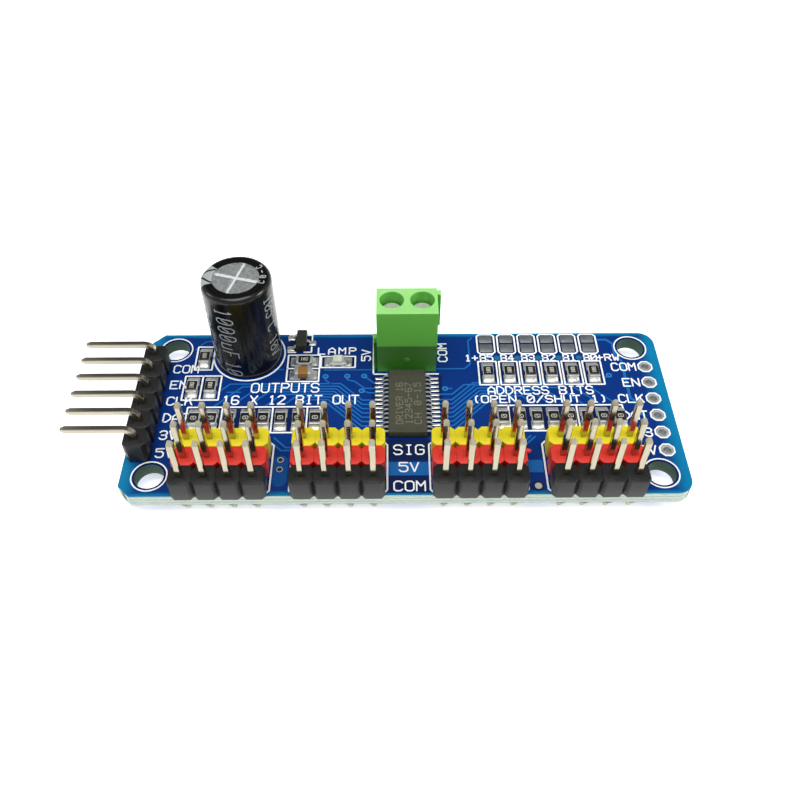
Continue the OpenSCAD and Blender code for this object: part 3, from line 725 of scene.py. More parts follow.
def box_middles(node, count, axis=0):
    """Places in a row inside a node's box, on the board's face."""
    low, high = span(node)
    wide = high[1 - axis] - low[1 - axis]
    places = np.zeros((count, 3))
    places[:, 0], places[:, 1] = (low + high)[:2] / 2
    half = 1.25 / 2
    places[:, axis] = np.linspace(low[axis] + half, high[axis] - half, count)
    return places


BANKS = (("left_output_resistors", 8), ("right_output_resistors", 8), ("address_resistors", 6))
bank_places = {}
for node, count in BANKS:
    places = box_middles(node[:-1] + "_caps", count)
    bank_places[node] = places
    bodies, ends = chip_parts(places, 2.0, 1.25, 0.5, alumina, resistor_glaze)
    piece(node.replace("resistors", "resistor_bodies"), bodies, [node])
    piece(node.replace("resistors", "resistor_ends"), ends, [node[:-1] + "_caps"])
print("resistors in banks:", sum(count for _, count in BANKS))

# %% Single chip parts
def place_of(node):
    """The middle of a node's box, brought down to z = 0."""
    low, high = span(node)
    return [*((low + high)[:2] / 2), 0]


BUS_PLACES = [(-24.25, 8.1, 0), (-25.1, 3.3, 0), (-22.95, 3.3, 0)]
FILTER_PLACE = [(-12.1, 7.46, 0)]
bodies, ends = chip_parts(BUS_PLACES, 2.0, 1.25, 0.5, alumina, resistor_glaze)
more_bodies, more_ends = chip_parts(FILTER_PLACE, 2.0, 1.25, 0.5, alumina, resistor_glaze, across=True)
piece("bus_resistor_bodies", bodies + more_bodies, ["bus_resistors"])
piece("bus_resistor_ends", ends + more_ends, ["bus_resistor_caps"])

bodies, ends = chip_parts([place_of("bypass_capacitor")], 2.0, 1.25, 0.93, tan_ceramic, across=True,
                          reach=0.45)
piece("bypass_capacitor_body", bodies, ["bypass_capacitor"])
piece("bypass_capacitor_ends", ends, ["bypass_capacitor_caps"])

lamp_place = place_of("lamp_base")
bodies, ends = chip_parts([lamp_place], 2.0, 1.25, 0.34, white_laminate, across=True, reach=0.36)
piece("lamp_plate", bodies, ["lamp_base"])
piece("lamp_ends", ends, ["lamp_terminals"])
dome = carried_up(outline(1.26, 1.14, 0.12, 2), [(TOP + 0.3, 0.0), (TOP + 0.33, 0.0), (TOP + 0.74, 0.07),
                                                 (TOP + 0.79, 0.11), (TOP + 0.81, 0.2)])
piece("lamp_clear_lens", [(skin(at_places(dome, [lamp_place])), clear_epoxy)], ["lamp_lens"])

# %% [markdown]
# ## Chip packages and their leads
# A package is moulded in two halves that meet at the leads, so its sides lean in both ways from the
# middle: an outline carried up a profile that goes out and back. A lead is flat strip pressed to an
# S. Its thickness direction turns with the path and its width stays level with the board.

# %% Packages and gull-wing leads
def package(wide, long, low, high, draft=0.06):
    """Draft angles above and below the parting line, and a narrow soft edge round the top."""
    middle = (low + high) / 2
    profile = [(low, draft + 0.02), (low + 0.04, draft), (middle - 0.03, 0.0), (middle + 0.03, 0.0),
               (high - 0.05, draft), (high, draft + 0.05)]
    return carried_up(outline(wide, long, 0.06), profile)


def gull_wing(start, shoulder, toe, level, width, thick=0.14):
    """A flat strip along an S in the XZ plane: level out, round and down, round and level to the toe.
    Each ring is the strip's section set square to the path."""
    path = np.array([[start, level], [shoulder - 0.12, level], [shoulder, level - 0.05],
                     [shoulder + 0.08, level - 0.18], [shoulder + 0.16, 0.2], [shoulder + 0.22, 0.1],
                     [shoulder + 0.34, 0.075], [toe, 0.075]])
    path[:, 1] += TOP
    along = np.gradient(path, axis=0)
    along /= np.linalg.norm(along, axis=1, keepdims=True)
    normal = np.stack([-along[:, 1], along[:, 0]], axis=-1)
    section = outline(width, thick, 0.02)[:, ::-1] * [1, -1]
    x = path[:, :1] + normal[:, :1] * section[:, 0]
    z = path[:, 1:] + normal[:, 1:] * section[:, 0]
    y = np.broadcast_to(section[:, 1], x.shape)
    return np.stack([x, y, z], axis=-1)


def lead_pool(toe, width, reach=0.42):
    """Solder at a lead's toe: a low dome over its land, highest against the metal."""
    ring = outline(1.05, width + 0.1, 0.08)
    profile = [(TOP, 0.0), (TOP + 0.035, 0.0), (TOP + 0.075, 0.05), (TOP + 0.09, 0.11)]
    return carried_up(ring, profile) + [toe - 0.15 + reach / 2, 0, 0]


chip_low, chip_high = span("driver_chip_body")
chip_place = np.array(place_of("driver_chip_body"))
chip_wide, chip_long = (chip_high - chip_low)[:2]
chip_block = package(chip_wide, chip_long, chip_low[2], chip_high[2])
piece("driver_chip_package", [(skin(at_places(chip_block, [chip_place])), black_epoxy)],
      ["driver_chip_body"])

LEADS, LEAD_PITCH = 14, 0.65
lead_y = (np.arange(LEADS) - (LEADS - 1) / 2) * LEAD_PITCH
lead_rows = np.column_stack([np.zeros(LEADS), lead_y, np.zeros(LEADS)])
wing = gull_wing(chip_wide / 2 - 0.25, 2.62, 3.2, 0.5, 0.24)
pool = lead_pool(3.2, 0.27)
both = [(at_places(turned(at_places(rings, lead_rows), turn), [chip_place]), finish)
        for turn in (0, 180) for rings, finish in ((wing, tinned_copper), (pool, solder))]
piece("driver_chip_lead_rows", [(skin(rings), finish) for rings, finish in both],
      ["driver_chip_leads"])

# %% Transistor
body_low, body_high = span("transistor_body")
small_place = np.array(place_of("transistor_body"))
small_block = package(1.3, 2.9, body_low[2], body_high[2], 0.05)
piece("transistor_package", [(skin(at_places(small_block, [small_place])), dark_epoxy)],
      ["transistor_body"])
wing = gull_wing(0.5, 0.84, 1.24, 0.5, 0.42, 0.12)
pool = carried_up(outline(0.95, 0.85, 0.12), soft_edges(TOP, TOP + 0.1, 0.0, 0.08, 2)) + [1.3, 0, 0]
feet = [(turned(rings + [0, y, 0], turn), finish)
        for y, turn in ((0.95, 180), (-0.95, 180), (0.0, 0))
        for rings, finish in ((wing, tinned_copper), (pool, solder))]
piece("transistor_lead_set", [(skin(at_places(rings, [small_place])), finish) for rings, finish in feet],
      ["transistor_leads"])
print("chip leads:", 2 * LEADS, "and three on the transistor")

# %% [markdown]
# ## Jumper pads
# Each address bit has two bare pads to bridge with solder. Hot-air levelling leaves a thin cushion
# of tin on them, flat in the middle and rounded at the rim.

# %% Jumper pads
pads_low, pads_high = span("address_jumper_pads")
pad_x = np.linspace(pads_low[0] + 0.8, pads_high[0] - 0.8, 6)
pad_y = (pads_low[1] + 0.72, pads_high[1] - 0.72)
pad = carried_up(outline(1.6, 1.36, 0.1), soft_edges(TOP, TOP + 0.05, 0.0, 0.04, 2))
pad_places = [(x, y, 0) for x in pad_x for y in pad_y]
levelled_tin = metal("levelled_tin", "#979da0", "#80878b", 0.46, 0.14, 0.5, 0.03)
piece("bit_pads", [(skin(at_places(pad, pad_places)), levelled_tin)],
      ["address_jumper_pads"])

# %% [markdown]
# ## The capacitor
# A can of drawn aluminium in a shrunk sleeve. The sleeve is one profile turned about the axis: up the
# wall, round the shoulder, in over the rim, and down its own thickness to the bare end. Film never
# shrinks evenly, so the radius ripples by a few hundredths of a millimetre. The bare end is scored
# with a cross so that it can vent, and the score is a valley in the height of a polar grid.

# %% Sleeve and can
SLEEVE_R, SHOULDER, SLEEVE_TOP, RIM = 4.0, 0.62, 14.05, 2.66
WALL_TOP = SLEEVE_TOP - SHOULDER
AROUND = 120


def round_can(rings):
    """Lays (u, v, h) on the sleeve. u is a length round it from the -X side. v climbs the wall, then goes
    round the shoulder by an angle of length over radius, then in over the rim. h stands off the film,
    whose radius falls by a ripple of two sines."""
    u, v, h = rings[..., 0], rings[..., 1], rings[..., 2]
    turn = np.pi + u / SLEEVE_R
    past = np.maximum(v - WALL_TOP, 0)
    bend = np.minimum(past / SHOULDER, np.pi / 2)
    inward = np.maximum(past - SHOULDER * np.pi / 2, 0)
    ripple = 0.012 * (1 + np.sin(3 * turn + 0.5 * v) * np.sin(5 * turn - 0.9 * v + 1))
    r = SLEEVE_R - ripple - SHOULDER * (1 - np.cos(bend)) - inward + h * np.cos(bend)
    z = np.minimum(v, WALL_TOP) + SHOULDER * np.sin(bend) + h * np.sin(bend) - 0.06 * inward
    return np.stack([CAN_X + r * np.cos(turn), CAN_Y + r * np.sin(turn), z], axis=-1)


def film_grid(left, right, low, high, h, columns, rows):
    """A grid of (u, v, h) points between two lengths round the can and two lengths up the film."""
    v, u = np.meshgrid(np.linspace(low, high, rows), np.linspace(left, right, columns), indexing="ij")
    return np.stack([u, v, np.full_like(u, h)], axis=-1)


ROUND = 2 * np.pi * SLEEVE_R
FILM_END = WALL_TOP + SHOULDER * np.pi / 2 + SLEEVE_R - SHOULDER - RIM
outer = round_can(film_grid(0, ROUND * (1 - 1 / AROUND), TOP + 0.02, FILM_END, 0.0, AROUND, 70))
inner = round_can(film_grid(0, ROUND * (1 - 1 / AROUND), TOP + 0.02, FILM_END, -0.1, AROUND, 30)[::-1])
piece("capacitor_black_sleeve", [(skin(np.concatenate([outer, inner]), "joined"), black_film)],
      ["capacitor_sleeve"], crease=50)


def scored_end(radius, low, level, tilt):
    """A disc whose height drops 0.1 mm along a cross: z = level - 0.1 exp(-(d / 0.16)^2)."""
    share = np.linspace(1, 0.004, 44)
    r = radius * share[:, None]
    theta = np.linspace(0, 2 * np.pi, 160, endpoint=False)[None]
    x, y = r * np.cos(theta), r * np.sin(theta)
    off = np.stack([np.abs(r * np.sin(theta - tilt - k * np.pi / 2)) for k in range(2)]).min(axis=0)
    z = level - 0.1 * np.exp(-(off / 0.16) ** 2) * (share[:, None] < 0.95)
    foot = np.stack([x[:1], y[:1], np.full((1, 160), low)], axis=-1)
    return np.concatenate([foot, np.stack([x, y, z], axis=-1)])


SCORE_TILT = math.radians(-16)
end_disc = scored_end(2.74, 12.6, SLEEVE_TOP - 0.12, SCORE_TILT)
shell = np.stack([np.column_stack([circle(r, 72), np.full(72, z)]) for r, z in
                  ((3.6, TOP + 0.3), (3.86, TOP + 0.35), (3.86, 13.3), (3.4, 13.7), (2.9, 13.8))])
# Painted highlight for the vent score's floor: a near-white finish, not a metal.
painted_score_glint = moulded("scored_aluminium_painted_highlight", "#dfe2e1", "#b9bebe", 0.5, 0.3, 0.1, dent=0.01, shine=0.9)
piece("capacitor_bare_can", [(skin(at_places(end_disc, [(CAN_X, CAN_Y, 0)])), drawn_aluminium),
                             (skin(at_places(shell, [(CAN_X, CAN_Y, 0)])), drawn_aluminium)],
      ["capacitor_can"], crease=60)
print("capacitor", round(SLEEVE_TOP - TOP, 2), "mm tall,", 2 * SLEEVE_R, "mm across")

# %% [markdown]
# ## Print as raised ink
# A screened line is a bead of ink with round ends, a few hundredths of a millimetre thick. Each
# straight stretch becomes a slab shaped like a stadium, and letters are strokes on a 4 by 6 grid. The
# slabs are worked out flat, as (u, v, height), and a placing function then lays them on the board or
# wraps them round the can, so one method prints everything.

# %% Strokes and letters
GLYPHS = {
    "A": "00 04 26 44 40|02 42", "B": "00 06 36 45 44 33 03|33 42 41 30 00", "C": "45 36 16 05 01 10 30 41",
    "D": "00 06 26 44 42 20 00", "E": "46 06 00 40|03 33", "F": "46 06 00|03 33",
    "G": "45 36 16 05 01 10 30 41 43 23", "H": "00 06|40 46|03 43", "I": "10 30|20 26|16 36",
    "K": "00 06|46 02|24 40", "L": "06 00 40", "M": "00 06 23 46 40", "N": "00 06 40 46",
    "O": "10 01 05 16 36 45 41 30 10", "P": "00 06 36 45 44 33 03", "R": "00 06 36 45 44 33 03|23 40",
    "S": "01 10 30 41 42 33 13 04 05 16 36 45", "T": "06 46|20 26", "U": "06 01 10 30 41 46",
    "V": "06 20 46", "W": "06 10 23 30 46", "X": "00 46|06 40", "Y": "06 23 46|23 20",
    "0": "10 01 05 16 36 45 41 30 10|12 34", "1": "15 26 20|10 30", "2": "05 16 36 45 44 00 40",
    "3": "05 16 36 45 44 33 42 41 30 10 01|13 33", "4": "30 36 02 42", "5": "46 06 04 34 43 41 30 10 01",
    "6": "45 36 16 05 01 10 30 41 42 33 03", "7": "06 46 10",
    "8": "13 04 05 16 36 45 44 33 13 02 01 10 30 41 42 33", "9": "01 10 30 41 45 36 16 05 04 13 43",
    "+": "03 43|21 25", "-": "03 43", "/": "00 46", "(": "36 25 21 30", ")": "16 25 21 10",
    "u": "04 00|01 10 30 41|44 40", " ": ""}


def letters(words, left, right, low, high):
    """Strokes of a line of words that fills a box: equal steps, and cells at most 0.75 as wide as high."""
    cell = min((right - left) / (1.34 * len(words) - 0.34), 0.75 * abs(high - low))
    step = (right - left - cell) / max(len(words) - 1, 1)
    strokes = []
    for i, letter in enumerate(words):
        for run in filter(None, GLYPHS[letter].split("|")):
            grid = np.array([[int(c) for c in pair] for pair in run.split()], float)
            strokes.append(grid * [cell / 4, (high - low) / 6] + [left + step * i, low])
    return strokes


def upright_words(words, left, right, low, high):
    """The same, turned a quarter so that the line reads up the board."""
    return [np.column_stack([right - s[:, 1], s[:, 0]]) for s in letters(words, low, high, 0, right - left)]


def ring_line(x, y, radius, points=48, start=0, end=360):
    """A stroke round a circle or part of one."""
    t = np.radians(np.linspace(start, end, points + 1))
    return np.column_stack([x + radius * np.cos(t), y + radius * np.sin(t)])


def frame_line(left, right, low, high, cut=0.0):
    """A closed stroke round a rectangle, with cut corners."""
    loop = outline(right - left, high - low, max(cut, 0.001)) + [(left + right) / 2, (low + high) / 2]
    return np.concatenate([loop, loop[:1]])


def beads(strokes, width, low, high, ends=4):
    """One slab to each straight stretch, as (u, v, h) rings: a stadium of the line's width. Each slab's
    top is a hair off its neighbours' so that no two faces lie in one plane."""
    a = np.concatenate([s[:-1] for s in strokes])
    b = np.concatenate([s[1:] for s in strokes])
    run = b - a
    run /= np.maximum(np.linalg.norm(run, axis=1, keepdims=True), 1e-9)
    side = np.stack([-run[:, 1], run[:, 0]], axis=-1)
    t = np.radians(np.linspace(-90, 90, ends))
    cap = width / 2 * (np.cos(t)[:, None, None] * run + np.sin(t)[:, None, None] * side)
    flat = np.concatenate([b + cap, a - cap]).transpose(1, 0, 2)
    lift = high + 0.0016 * (np.arange(len(a)) % 5)
    levels = np.stack([np.full(len(a), low), lift], axis=1)
    flat = np.broadcast_to(flat[:, None], (len(a), 2, *flat.shape[1:]))
    return np.concatenate([flat, np.broadcast_to(levels[:, :, None, None], (*flat.shape[:3], 1))], axis=-1)


def on_board(rings):
    """Lays (u, v, h) on the board's top face."""
    return rings + [0, 0, TOP]

# %% [markdown]
# ## Copper tracks under the lacquer
# Tracks show through the mask as lighter, slightly raised lines. They leave the chip level, turn
# through 45 degrees and run level again to the resistors, so each one follows from its number alone.
# The loose ones, to vias, pads and the board's edge, are short lists of corners.

# %% Tracks
def fan(side, first_x, bank_x, count=8):
    """One track to each resistor of a bank: level from a lead, 45 degrees up, level, 45 degrees down."""
    i = np.arange(count)
    lead = -3.5 + LEAD_PITCH * i + chip_place[1] * 0.5
    level = 0.95 + 0.42 * i
    rise = level - lead
    knee = np.full(count, first_x + side * 1.75)
    far = bank_x - side * (level - 0.4)
    x = np.stack([np.full(count, first_x), knee, knee + side * rise, far, bank_x], axis=-1)
    y = np.stack([lead, lead, level, level, np.full(count, 0.4)], axis=-1)
    return list(np.stack([x, y], axis=-1))


left_bank = bank_places["left_output_resistors"][:, 0]
right_bank = bank_places["right_output_resistors"][:, 0]
left_fan = fan(-1, -3.2, left_bank[::-1])
right_fan = fan(1, 3.8, right_bank)
LOOSE_TRACKS = [
    [(-9.43, 5.06), (-9.43, 4.5), (-8.8, 3.9)],
    [(-6.83, 5.09), (-6.83, 4.5), (-5.9, 4.2), (-4.7, 3.1), (-3.2, 3.1)],
    [(-4.8, 5.08), (-3.6, 3.9), (-3.0, 3.9)], [(-5.06, 2.73), (-4.2, 2.4), (-3.2, 2.4)],
    [(-17.0, 6.2), (-14.6, 6.2)], [(-9.6, 6.1), (-3.6, 6.1)],
    [(3.9, 6.2), (7.3, 6.2), (8.0, 6.9), (8.0, 10.9), (8.5, 11.4)],
    [(4.81, 3.0), (5.6, 3.0)], [(4.0, 2.1), (5.6, 2.1), (7.1, 3.6), (9.6, 3.6)],
    [(-26.6, 4.6), (-27.8, 3.4)], [(-20.9, 2.6), (-19.4, 2.6)], [(-25.6, 9.6), (-24.6, 10.9), (-23.2, 11.3)],
    [(-14.8, -4.3), (-13.4, -5.7), (-12.9, -5.7)], [(-14.9, -5.1), (-13.9, -6.1), (-12.9, -6.1)],
    [(10.2, -4.3), (12.8, -4.3)], [(13.1, -5.9), (14.7, -4.3)], [(13.1, -5.3), (14.2, -4.2)],
    [(13.0, -9.2), (15.0, -9.2)], [(-2.2, -9.5), (2.8, -9.5)], [(24.6, 5.0), (23.9, 4.4)],
]
WIDE_TRACK = [(23.9, 11.0), (25.2, 11.0), (25.9, 10.3), (25.9, 8.0), (26.5, 7.4), (26.5, 1.4), (27.4, 0.5),
              (27.4, -1.2)]
thin_tracks = left_fan + right_fan + [np.array(t, float) for t in LOOSE_TRACKS]
wide_tracks = [np.array(WIDE_TRACK, float)]
piece("copper_tracks", [(skin(on_board(beads(thin_tracks, 0.2, -0.02, 0.018))), mask_over_copper),
                        (skin(on_board(beads(wide_tracks, 0.34, -0.02, 0.02))), mask_over_copper)])
print("tracks:", len(thin_tracks) + len(wide_tracks))

# %% [markdown]
# ## Bare windows, bands and vias
# Between the tracks the mask lies straight on the glass and looks navy. These windows are thin slabs a few
# microns proud. A via is a filled dimple with a small raised ring; two are open drillings, each drawn as a
# ring round a black disc that is painted shade in place of the bore.

# %% Windows and vias
def plates(boxes, high, cut=0.3):
    """Thin slabs on the board, each given as (left, right, low, high)."""
    made = []
    for i, (left, right, low, high_y) in enumerate(boxes):
        loop = outline(right - left, high_y - low, cut, 3) + [(left + right) / 2, (low + high_y) / 2]
        made.append(skin(carried_up(loop, [(TOP - 0.02, 0.0), (TOP + high + 0.0006 * i, 0.0)])))
    return made


WINDOWS = [(-25.2, -9.8, -3.5, 0.2), (10.2, 25.3, -3.4, 0.2), (9.0, 24.0, 3.6, 7.3), (8.9, 24.0, 8.7, 11.9),
           (-25.3, -23.2, 6.2, 10.0), (-26.1, -21.9, 1.4, 5.2), (-14.1, -10.3, 4.3, 8.6),
           (-10.0, -6.0, 6.5, 8.3), (-14.2, -11.2, 9.2, 12.0), (-2.3, 2.8, -7.6, -4.6),
           (-2.3, 2.8, -11.9, -9.7), (-3.9, 4.5, -4.3, 5.2)]
BANDS = [(-2.3, 2.8, -9.4, -7.8), (12.9, 15.1, -9.1, -7.6)]
window_parts = [(s, mask_over_bare) for s in plates(WINDOWS, 0.004)]
window_parts += [(s, mask_over_copper) for s in plates(BANDS, 0.005, 0.1)]
piece("mask_windows", window_parts)

VIAS = [(-9.43, 5.06), (-6.83, 5.09), (-4.8, 5.08), (-5.06, 2.73), (4.81, 3.0), (24.6, 5.0)]
FILLED = [(11.37, 7.95), (16.44, 7.95), (18.95, 7.95), (21.41, 7.95), (13.9, 7.95)]
OPEN = [(-13.83, -7.4), (-13.83, -8.7)]
OPEN_LAND = (-14.7, -12.95, -11.0, -6.8)
TEST_PAD = (14.29, -11.11)
RIM_X, RIM_Y = 27.94, 9.525
MOUNTING = [(x, y) for x in (-RIM_X, RIM_X) for y in (-RIM_Y, RIM_Y)]


def via_ring(bore, land, high):
    """A joined ring: out at the foot, over a rounded shoulder, in and down to the bore."""
    profile = [(land, -0.02), (land, high * 0.6), (land - 0.06, high), (bore + 0.05, high),
               (bore, high * 0.5), (bore, -0.02)]
    return np.stack([np.column_stack([circle(r, 24), np.full(24, TOP + z)]) for r, z in profile])


def flat_places(pairs):
    """Places on the board from (x, y) pairs."""
    return [(x, y, 0) for x, y in pairs]


def spots(radius, high, pairs):
    """Flat round slabs on the board."""
    spot = carried_up(circle(radius, 20), [(TOP - 0.02, 0.0), (TOP + high, 0.0)])
    return skin(at_places(spot, flat_places(pairs)))


def via_rings(bore, land, high, pairs):
    """A ring at each of several (x, y) pairs."""
    return skin(at_places(via_ring(bore, land, high), flat_places(pairs)), "joined")


bright_pad = moulded("tinned_test_pad", "#cfcdbe", "#a9a898", 0.4, 0.3, 0.08, shine=0.8)
pale_ring = mask_finish("blue_solder_mask_over_via_ring", "#2f7fc0", "#2f8fc6")
piece("vias", [
    (via_rings(0.2, 0.36, 0.026, VIAS), pale_ring),
    (via_rings(0.2, 0.38, 0.03, FILLED), mask_over_via),
    (spots(0.22, 0.012, FILLED), mask_over_via),
    (via_rings(0.28, 0.36, 0.03, OPEN), bright_pad),
    # Painted shade: a black disc stands where the open bore would be dark.
    (spots(0.3, 0.012, OPEN), black_ink_and_hole_shade),
    (via_rings(1.62, 1.84, 0.006, MOUNTING), mask_over_bare),
    (spots(0.66, 0.006, [TEST_PAD]), mask_over_bare),
    (spots(0.4, 0.05, [TEST_PAD]), bright_pad),
    (plates([OPEN_LAND], 0.004, 0.8)[0], mask_over_land)])

# %% [markdown]
# ## The printed legend
# Rings round the mounting holes, frames round the parts, brackets round the plugs, and words. The
# words are the plain ones for their place: what a pin carries, a bit's number, a channel's number.

# %% Legend
hole_rings = [ring_line(x, y, 1.94) for x, y in MOUNTING]
CAN_RING, RING_STOP_Y = 4.33, 12.05
clip = math.degrees(math.asin((RING_STOP_Y - CAN_Y) / CAN_RING))
can_ring = [ring_line(CAN_X, CAN_Y, CAN_RING, 64, 180 - clip, 360 + clip)]
bank_frames = [frame_line(-25.2, -9.8, -3.55, 0.28), frame_line(10.17, 25.35, -3.5, 0.31)]
dividers = [np.array([(x, -3.5), (x, 0.28)]) for x in (-21.14, -15.3, -11.3, 12.04, 19.98)]
pad_frames = [frame_line(x - 1.06, x + 1.06, 8.65, 11.95, 0.3) for x in pad_x]
bit_x = bank_places["address_resistors"][:, 0]
bit_frames = [frame_line(x - 1.1, x + 1.1, 3.55, 7.35) for x in bit_x]
part_frames = [frame_line(-25.3, -23.2, 6.2, 10.05), frame_line(-26.15, -24.05, 1.4, 5.2),
               frame_line(-24.05, -21.85, 1.4, 5.2), frame_line(-14.1, -10.25, 4.25, 6.35),
               frame_line(-14.1, -10.25, 6.35, 8.58), frame_line(-10.07, -5.93, 6.5, 8.33)]
corner = np.array([(0, 0.9), (0, 0), (0.9, 0)], float)
small_corners = [np.array([(x, y)]) + corner * [sx, sy] for x, y, sx, sy in
                 ((-14.2, 9.08, 1, 1), (-11.36, 9.08, -1, 1), (-14.2, 12.0, 1, -1), (-11.36, 12.0, -1, -1))]
block_marks = [np.array([(-3.71, 5.5), (-3.71, 12.0)]), np.array([(-3.6, 5.35), (-2.07, 5.35)]),
               np.array([(2.62, 5.35), (4.1, 5.35)])]
plug_frames = [frame_line(x - 5.3, x + 5.3, -12.02, -4.9, 0.5) for x in
               [row_in(f"ground_strip_{n}", 1)[0] for n in range(1, 5)]]
lines = can_ring + bank_frames + dividers + pad_frames + bit_frames + part_frames
lines += small_corners + block_marks + plug_frames
thin_lines = hole_rings + [ring_line(eye_x, y, land / 2 + 0.05, 8, 22.5, 382.5) for y in eye_y]

WORDS = [("OUTPUTS", -18.1, -10.15, 2.55, 3.95), ("16 X 12 BIT OUT", -21.3, -5.4, 0.72, 2.0),
         ("LAMP", -10.5, -5.9, 8.75, 9.8), ("SIG", -1.3, 2.05, -6.75, -5.45), ("5V", -0.7, 1.4, -9.1, -7.9),
         ("COM", -1.3, 2.05, -11.65, -10.4), ("ADDRESS BITS", 9.9, 22.3, 2.05, 3.25),
         ("(OPEN 0/SHUT 1)", 7.95, 23.8, 0.75, 1.8), ("1+", 7.5, 9.0, 7.45, 8.45),
         ("+RW", 23.6, 26.3, 7.45, 8.45)]
WORDS += [(f"B{5 - i}", x - 0.75, x + 0.75, 7.45, 8.45) for i, x in enumerate(bit_x)]
PIN_WORDS = ("COM", "EN", "CLK", "DAT", "3V3", "5V")
RIGHT_END, LEFT_START = 28.0, -27.75
WORDS += [(word, RIGHT_END - 0.95 * len(word), RIGHT_END, y - 0.6, y + 0.6)
          for word, y in zip(PIN_WORDS, eye_y[::-1])]
WORDS += [(word, LEFT_START, LEFT_START + 0.98 * len(word), y - 0.6, y + 0.6)
          for word, y in zip(PIN_WORDS, input_y[::-1])]
strokes = sum((letters(*word) for word in WORDS), [])
strokes += upright_words("5V", -5.15, -4.1, 7.6, 9.4) + upright_words("COM", 4.2, 5.25, 7.4, 10.4)
piece("screened_legend", [(skin(on_board(beads(lines, 0.19, 0.0, 0.034, 3))), white_ink),
                          (skin(on_board(beads(thin_lines, 0.15, 0.0, 0.052, 3))), white_ink),
                          (skin(on_board(beads(strokes, 0.17, 0.0, 0.036, 4))), white_ink)])
print("legend strokes:", len(lines) + len(thin_lines) + len(strokes))

# %% [markdown]
# ## Marks on the parts
# Resistors carry a three-figure value, the chip a faint laser mark, and the capacitor its rating in
# open letters down the side, beside the grey stripe with arrows that marks the negative lead. The
# placing function turns (u, v, h) into an angle and a height on the can.

# %% Marks
def value_marks(places, word, turn, high, wide=0.86, tall=0.42):
    """A value on each part, reading along it."""
    flat = beads(letters(word, -wide / 2, wide / 2, -tall / 2, tall / 2), 0.075, 0.0, 0.012, 3)
    return skin(turned(flat + [0, 0, TOP + high], turn) + np.array(places, float).reshape(-1, 1, 1, 1, 3))


mark_parts = [(value_marks(bank_places[f"{side}_output_resistors"], "0", 90, 0.53, 0.5, 0.6), pale_glaze)
              for side in ("left", "right")]
mark_parts += [(value_marks(bank_places["address_resistors"], "103", 90, 0.53), pale_glaze),
               (value_marks(BUS_PLACES, "103", 90, 0.53), pale_glaze),
               (value_marks(FILTER_PLACE, "102", 0, 0.53), pale_glaze)]
piece("value_marks", mark_parts)

chip_strokes = sum((upright_words(words, -1.3 + 1.05 * i, -0.55 + 1.05 * i, -3.6, 2.6)
                    for i, words in enumerate(("DRIVER 16", "12345-67", "CH 0-15"))), [])
chip_flat = beads(chip_strokes, 0.1, -0.004, 0.004, 3) + [*chip_place[:2], chip_high[2]]
dot = at_places(carried_up(circle(0.42, 28), [(chip_high[2] - 0.01, 0.0), (chip_high[2] + 0.004, 0.0)]),
                [chip_place + [1.2, -3.9, 0]])
piece("chip_marks", [(skin(chip_flat), pale_mark), (skin(dot), black_epoxy)])


def fine(strokes, step=0.35):
    """Cuts long stretches short, so that they can bend round the can."""
    cut = []
    for s in strokes:
        for a, b in zip(s[:-1], s[1:]):
            n = max(1, math.ceil(float(np.linalg.norm(b - a)) / step))
            cut.append(a + (b - a) * np.linspace(0, 1, n + 1)[:, None])
    return cut


def down_the_can(words, middle, high, low, tall):
    """Strokes of words that read down the can, `tall` mm high, centred on a length round it."""
    return fine([np.column_stack([middle + (s[:, 1] - 0.5) * tall, high - s[:, 0]])
                 for s in letters(words, 0, high - low, 0, 1)])


rating = down_the_can("1000uF", 4.95, 12.5, 5.1, 2.0) + down_the_can("10", 4.95, 4.0, 2.05, 1.9)
rating += down_the_can("105 C 10V", 10.8, 12.7, 3.6, 1.5) + down_the_can("105 C", 1.8, 11.0, 4.6, 1.5)
rim_marks = letters("C0-C", 11.3, 15.3, FILM_END - 0.72, FILM_END - 0.08)
stripe = [film_grid(-2.35, 1.4, TOP + 0.3, FILM_END, h, 17, 64) for h in (0.012, -0.03)]
band = round_can(np.concatenate([stripe[0], stripe[1][:, ::-1]], axis=1))
arrow_v = WALL_TOP + 0.25 - 2.4 * np.arange(5)
arrows = [np.array([(-2.1, v + 1.36), (-0.45, v), (1.2, v + 1.36)]) for v in arrow_v]
piece("sleeve_print", [
    (skin(round_can(beads(rating + fine(rim_marks), 0.14, -0.02, 0.014, 3))), grey_ink),
    (skin(band), grey_ink),
    (skin(round_can(beads(fine(arrows, 0.15), 0.24, -0.01, 0.03, 3))), black_ink_and_hole_shade)],
      crease=50)

# Painted highlight: the valley's floor along the scored cross is painted near-white, with a strong sheen,
# where the score catches the light.
SCORE_REACH = 2.4
arms = [SCORE_REACH * np.array([(-math.cos(a), -math.sin(a)), (math.cos(a), math.sin(a))])
        for a in (SCORE_TILT, SCORE_TILT + np.pi / 2)]
score = beads(arms, 0.26, -0.12, -0.05, 6) + [CAN_X, CAN_Y, SLEEVE_TOP - 0.12]
piece("vent_score_floor", [(skin(score), painted_score_glint)])
print("marks: resistor values, chip, rating, stripe and vent score")

# %% [markdown]
# ## The screw terminal
# The housing is already right as a solid. A copy of it is merged and given a narrow bevel, because
# moulded edges are never sharp and the thin bright line along them is what shows them as plastic. Two
# traces of moulding stay on the parts: an ejector's mark low on the block, and the stub of a gate on
# one red strip.

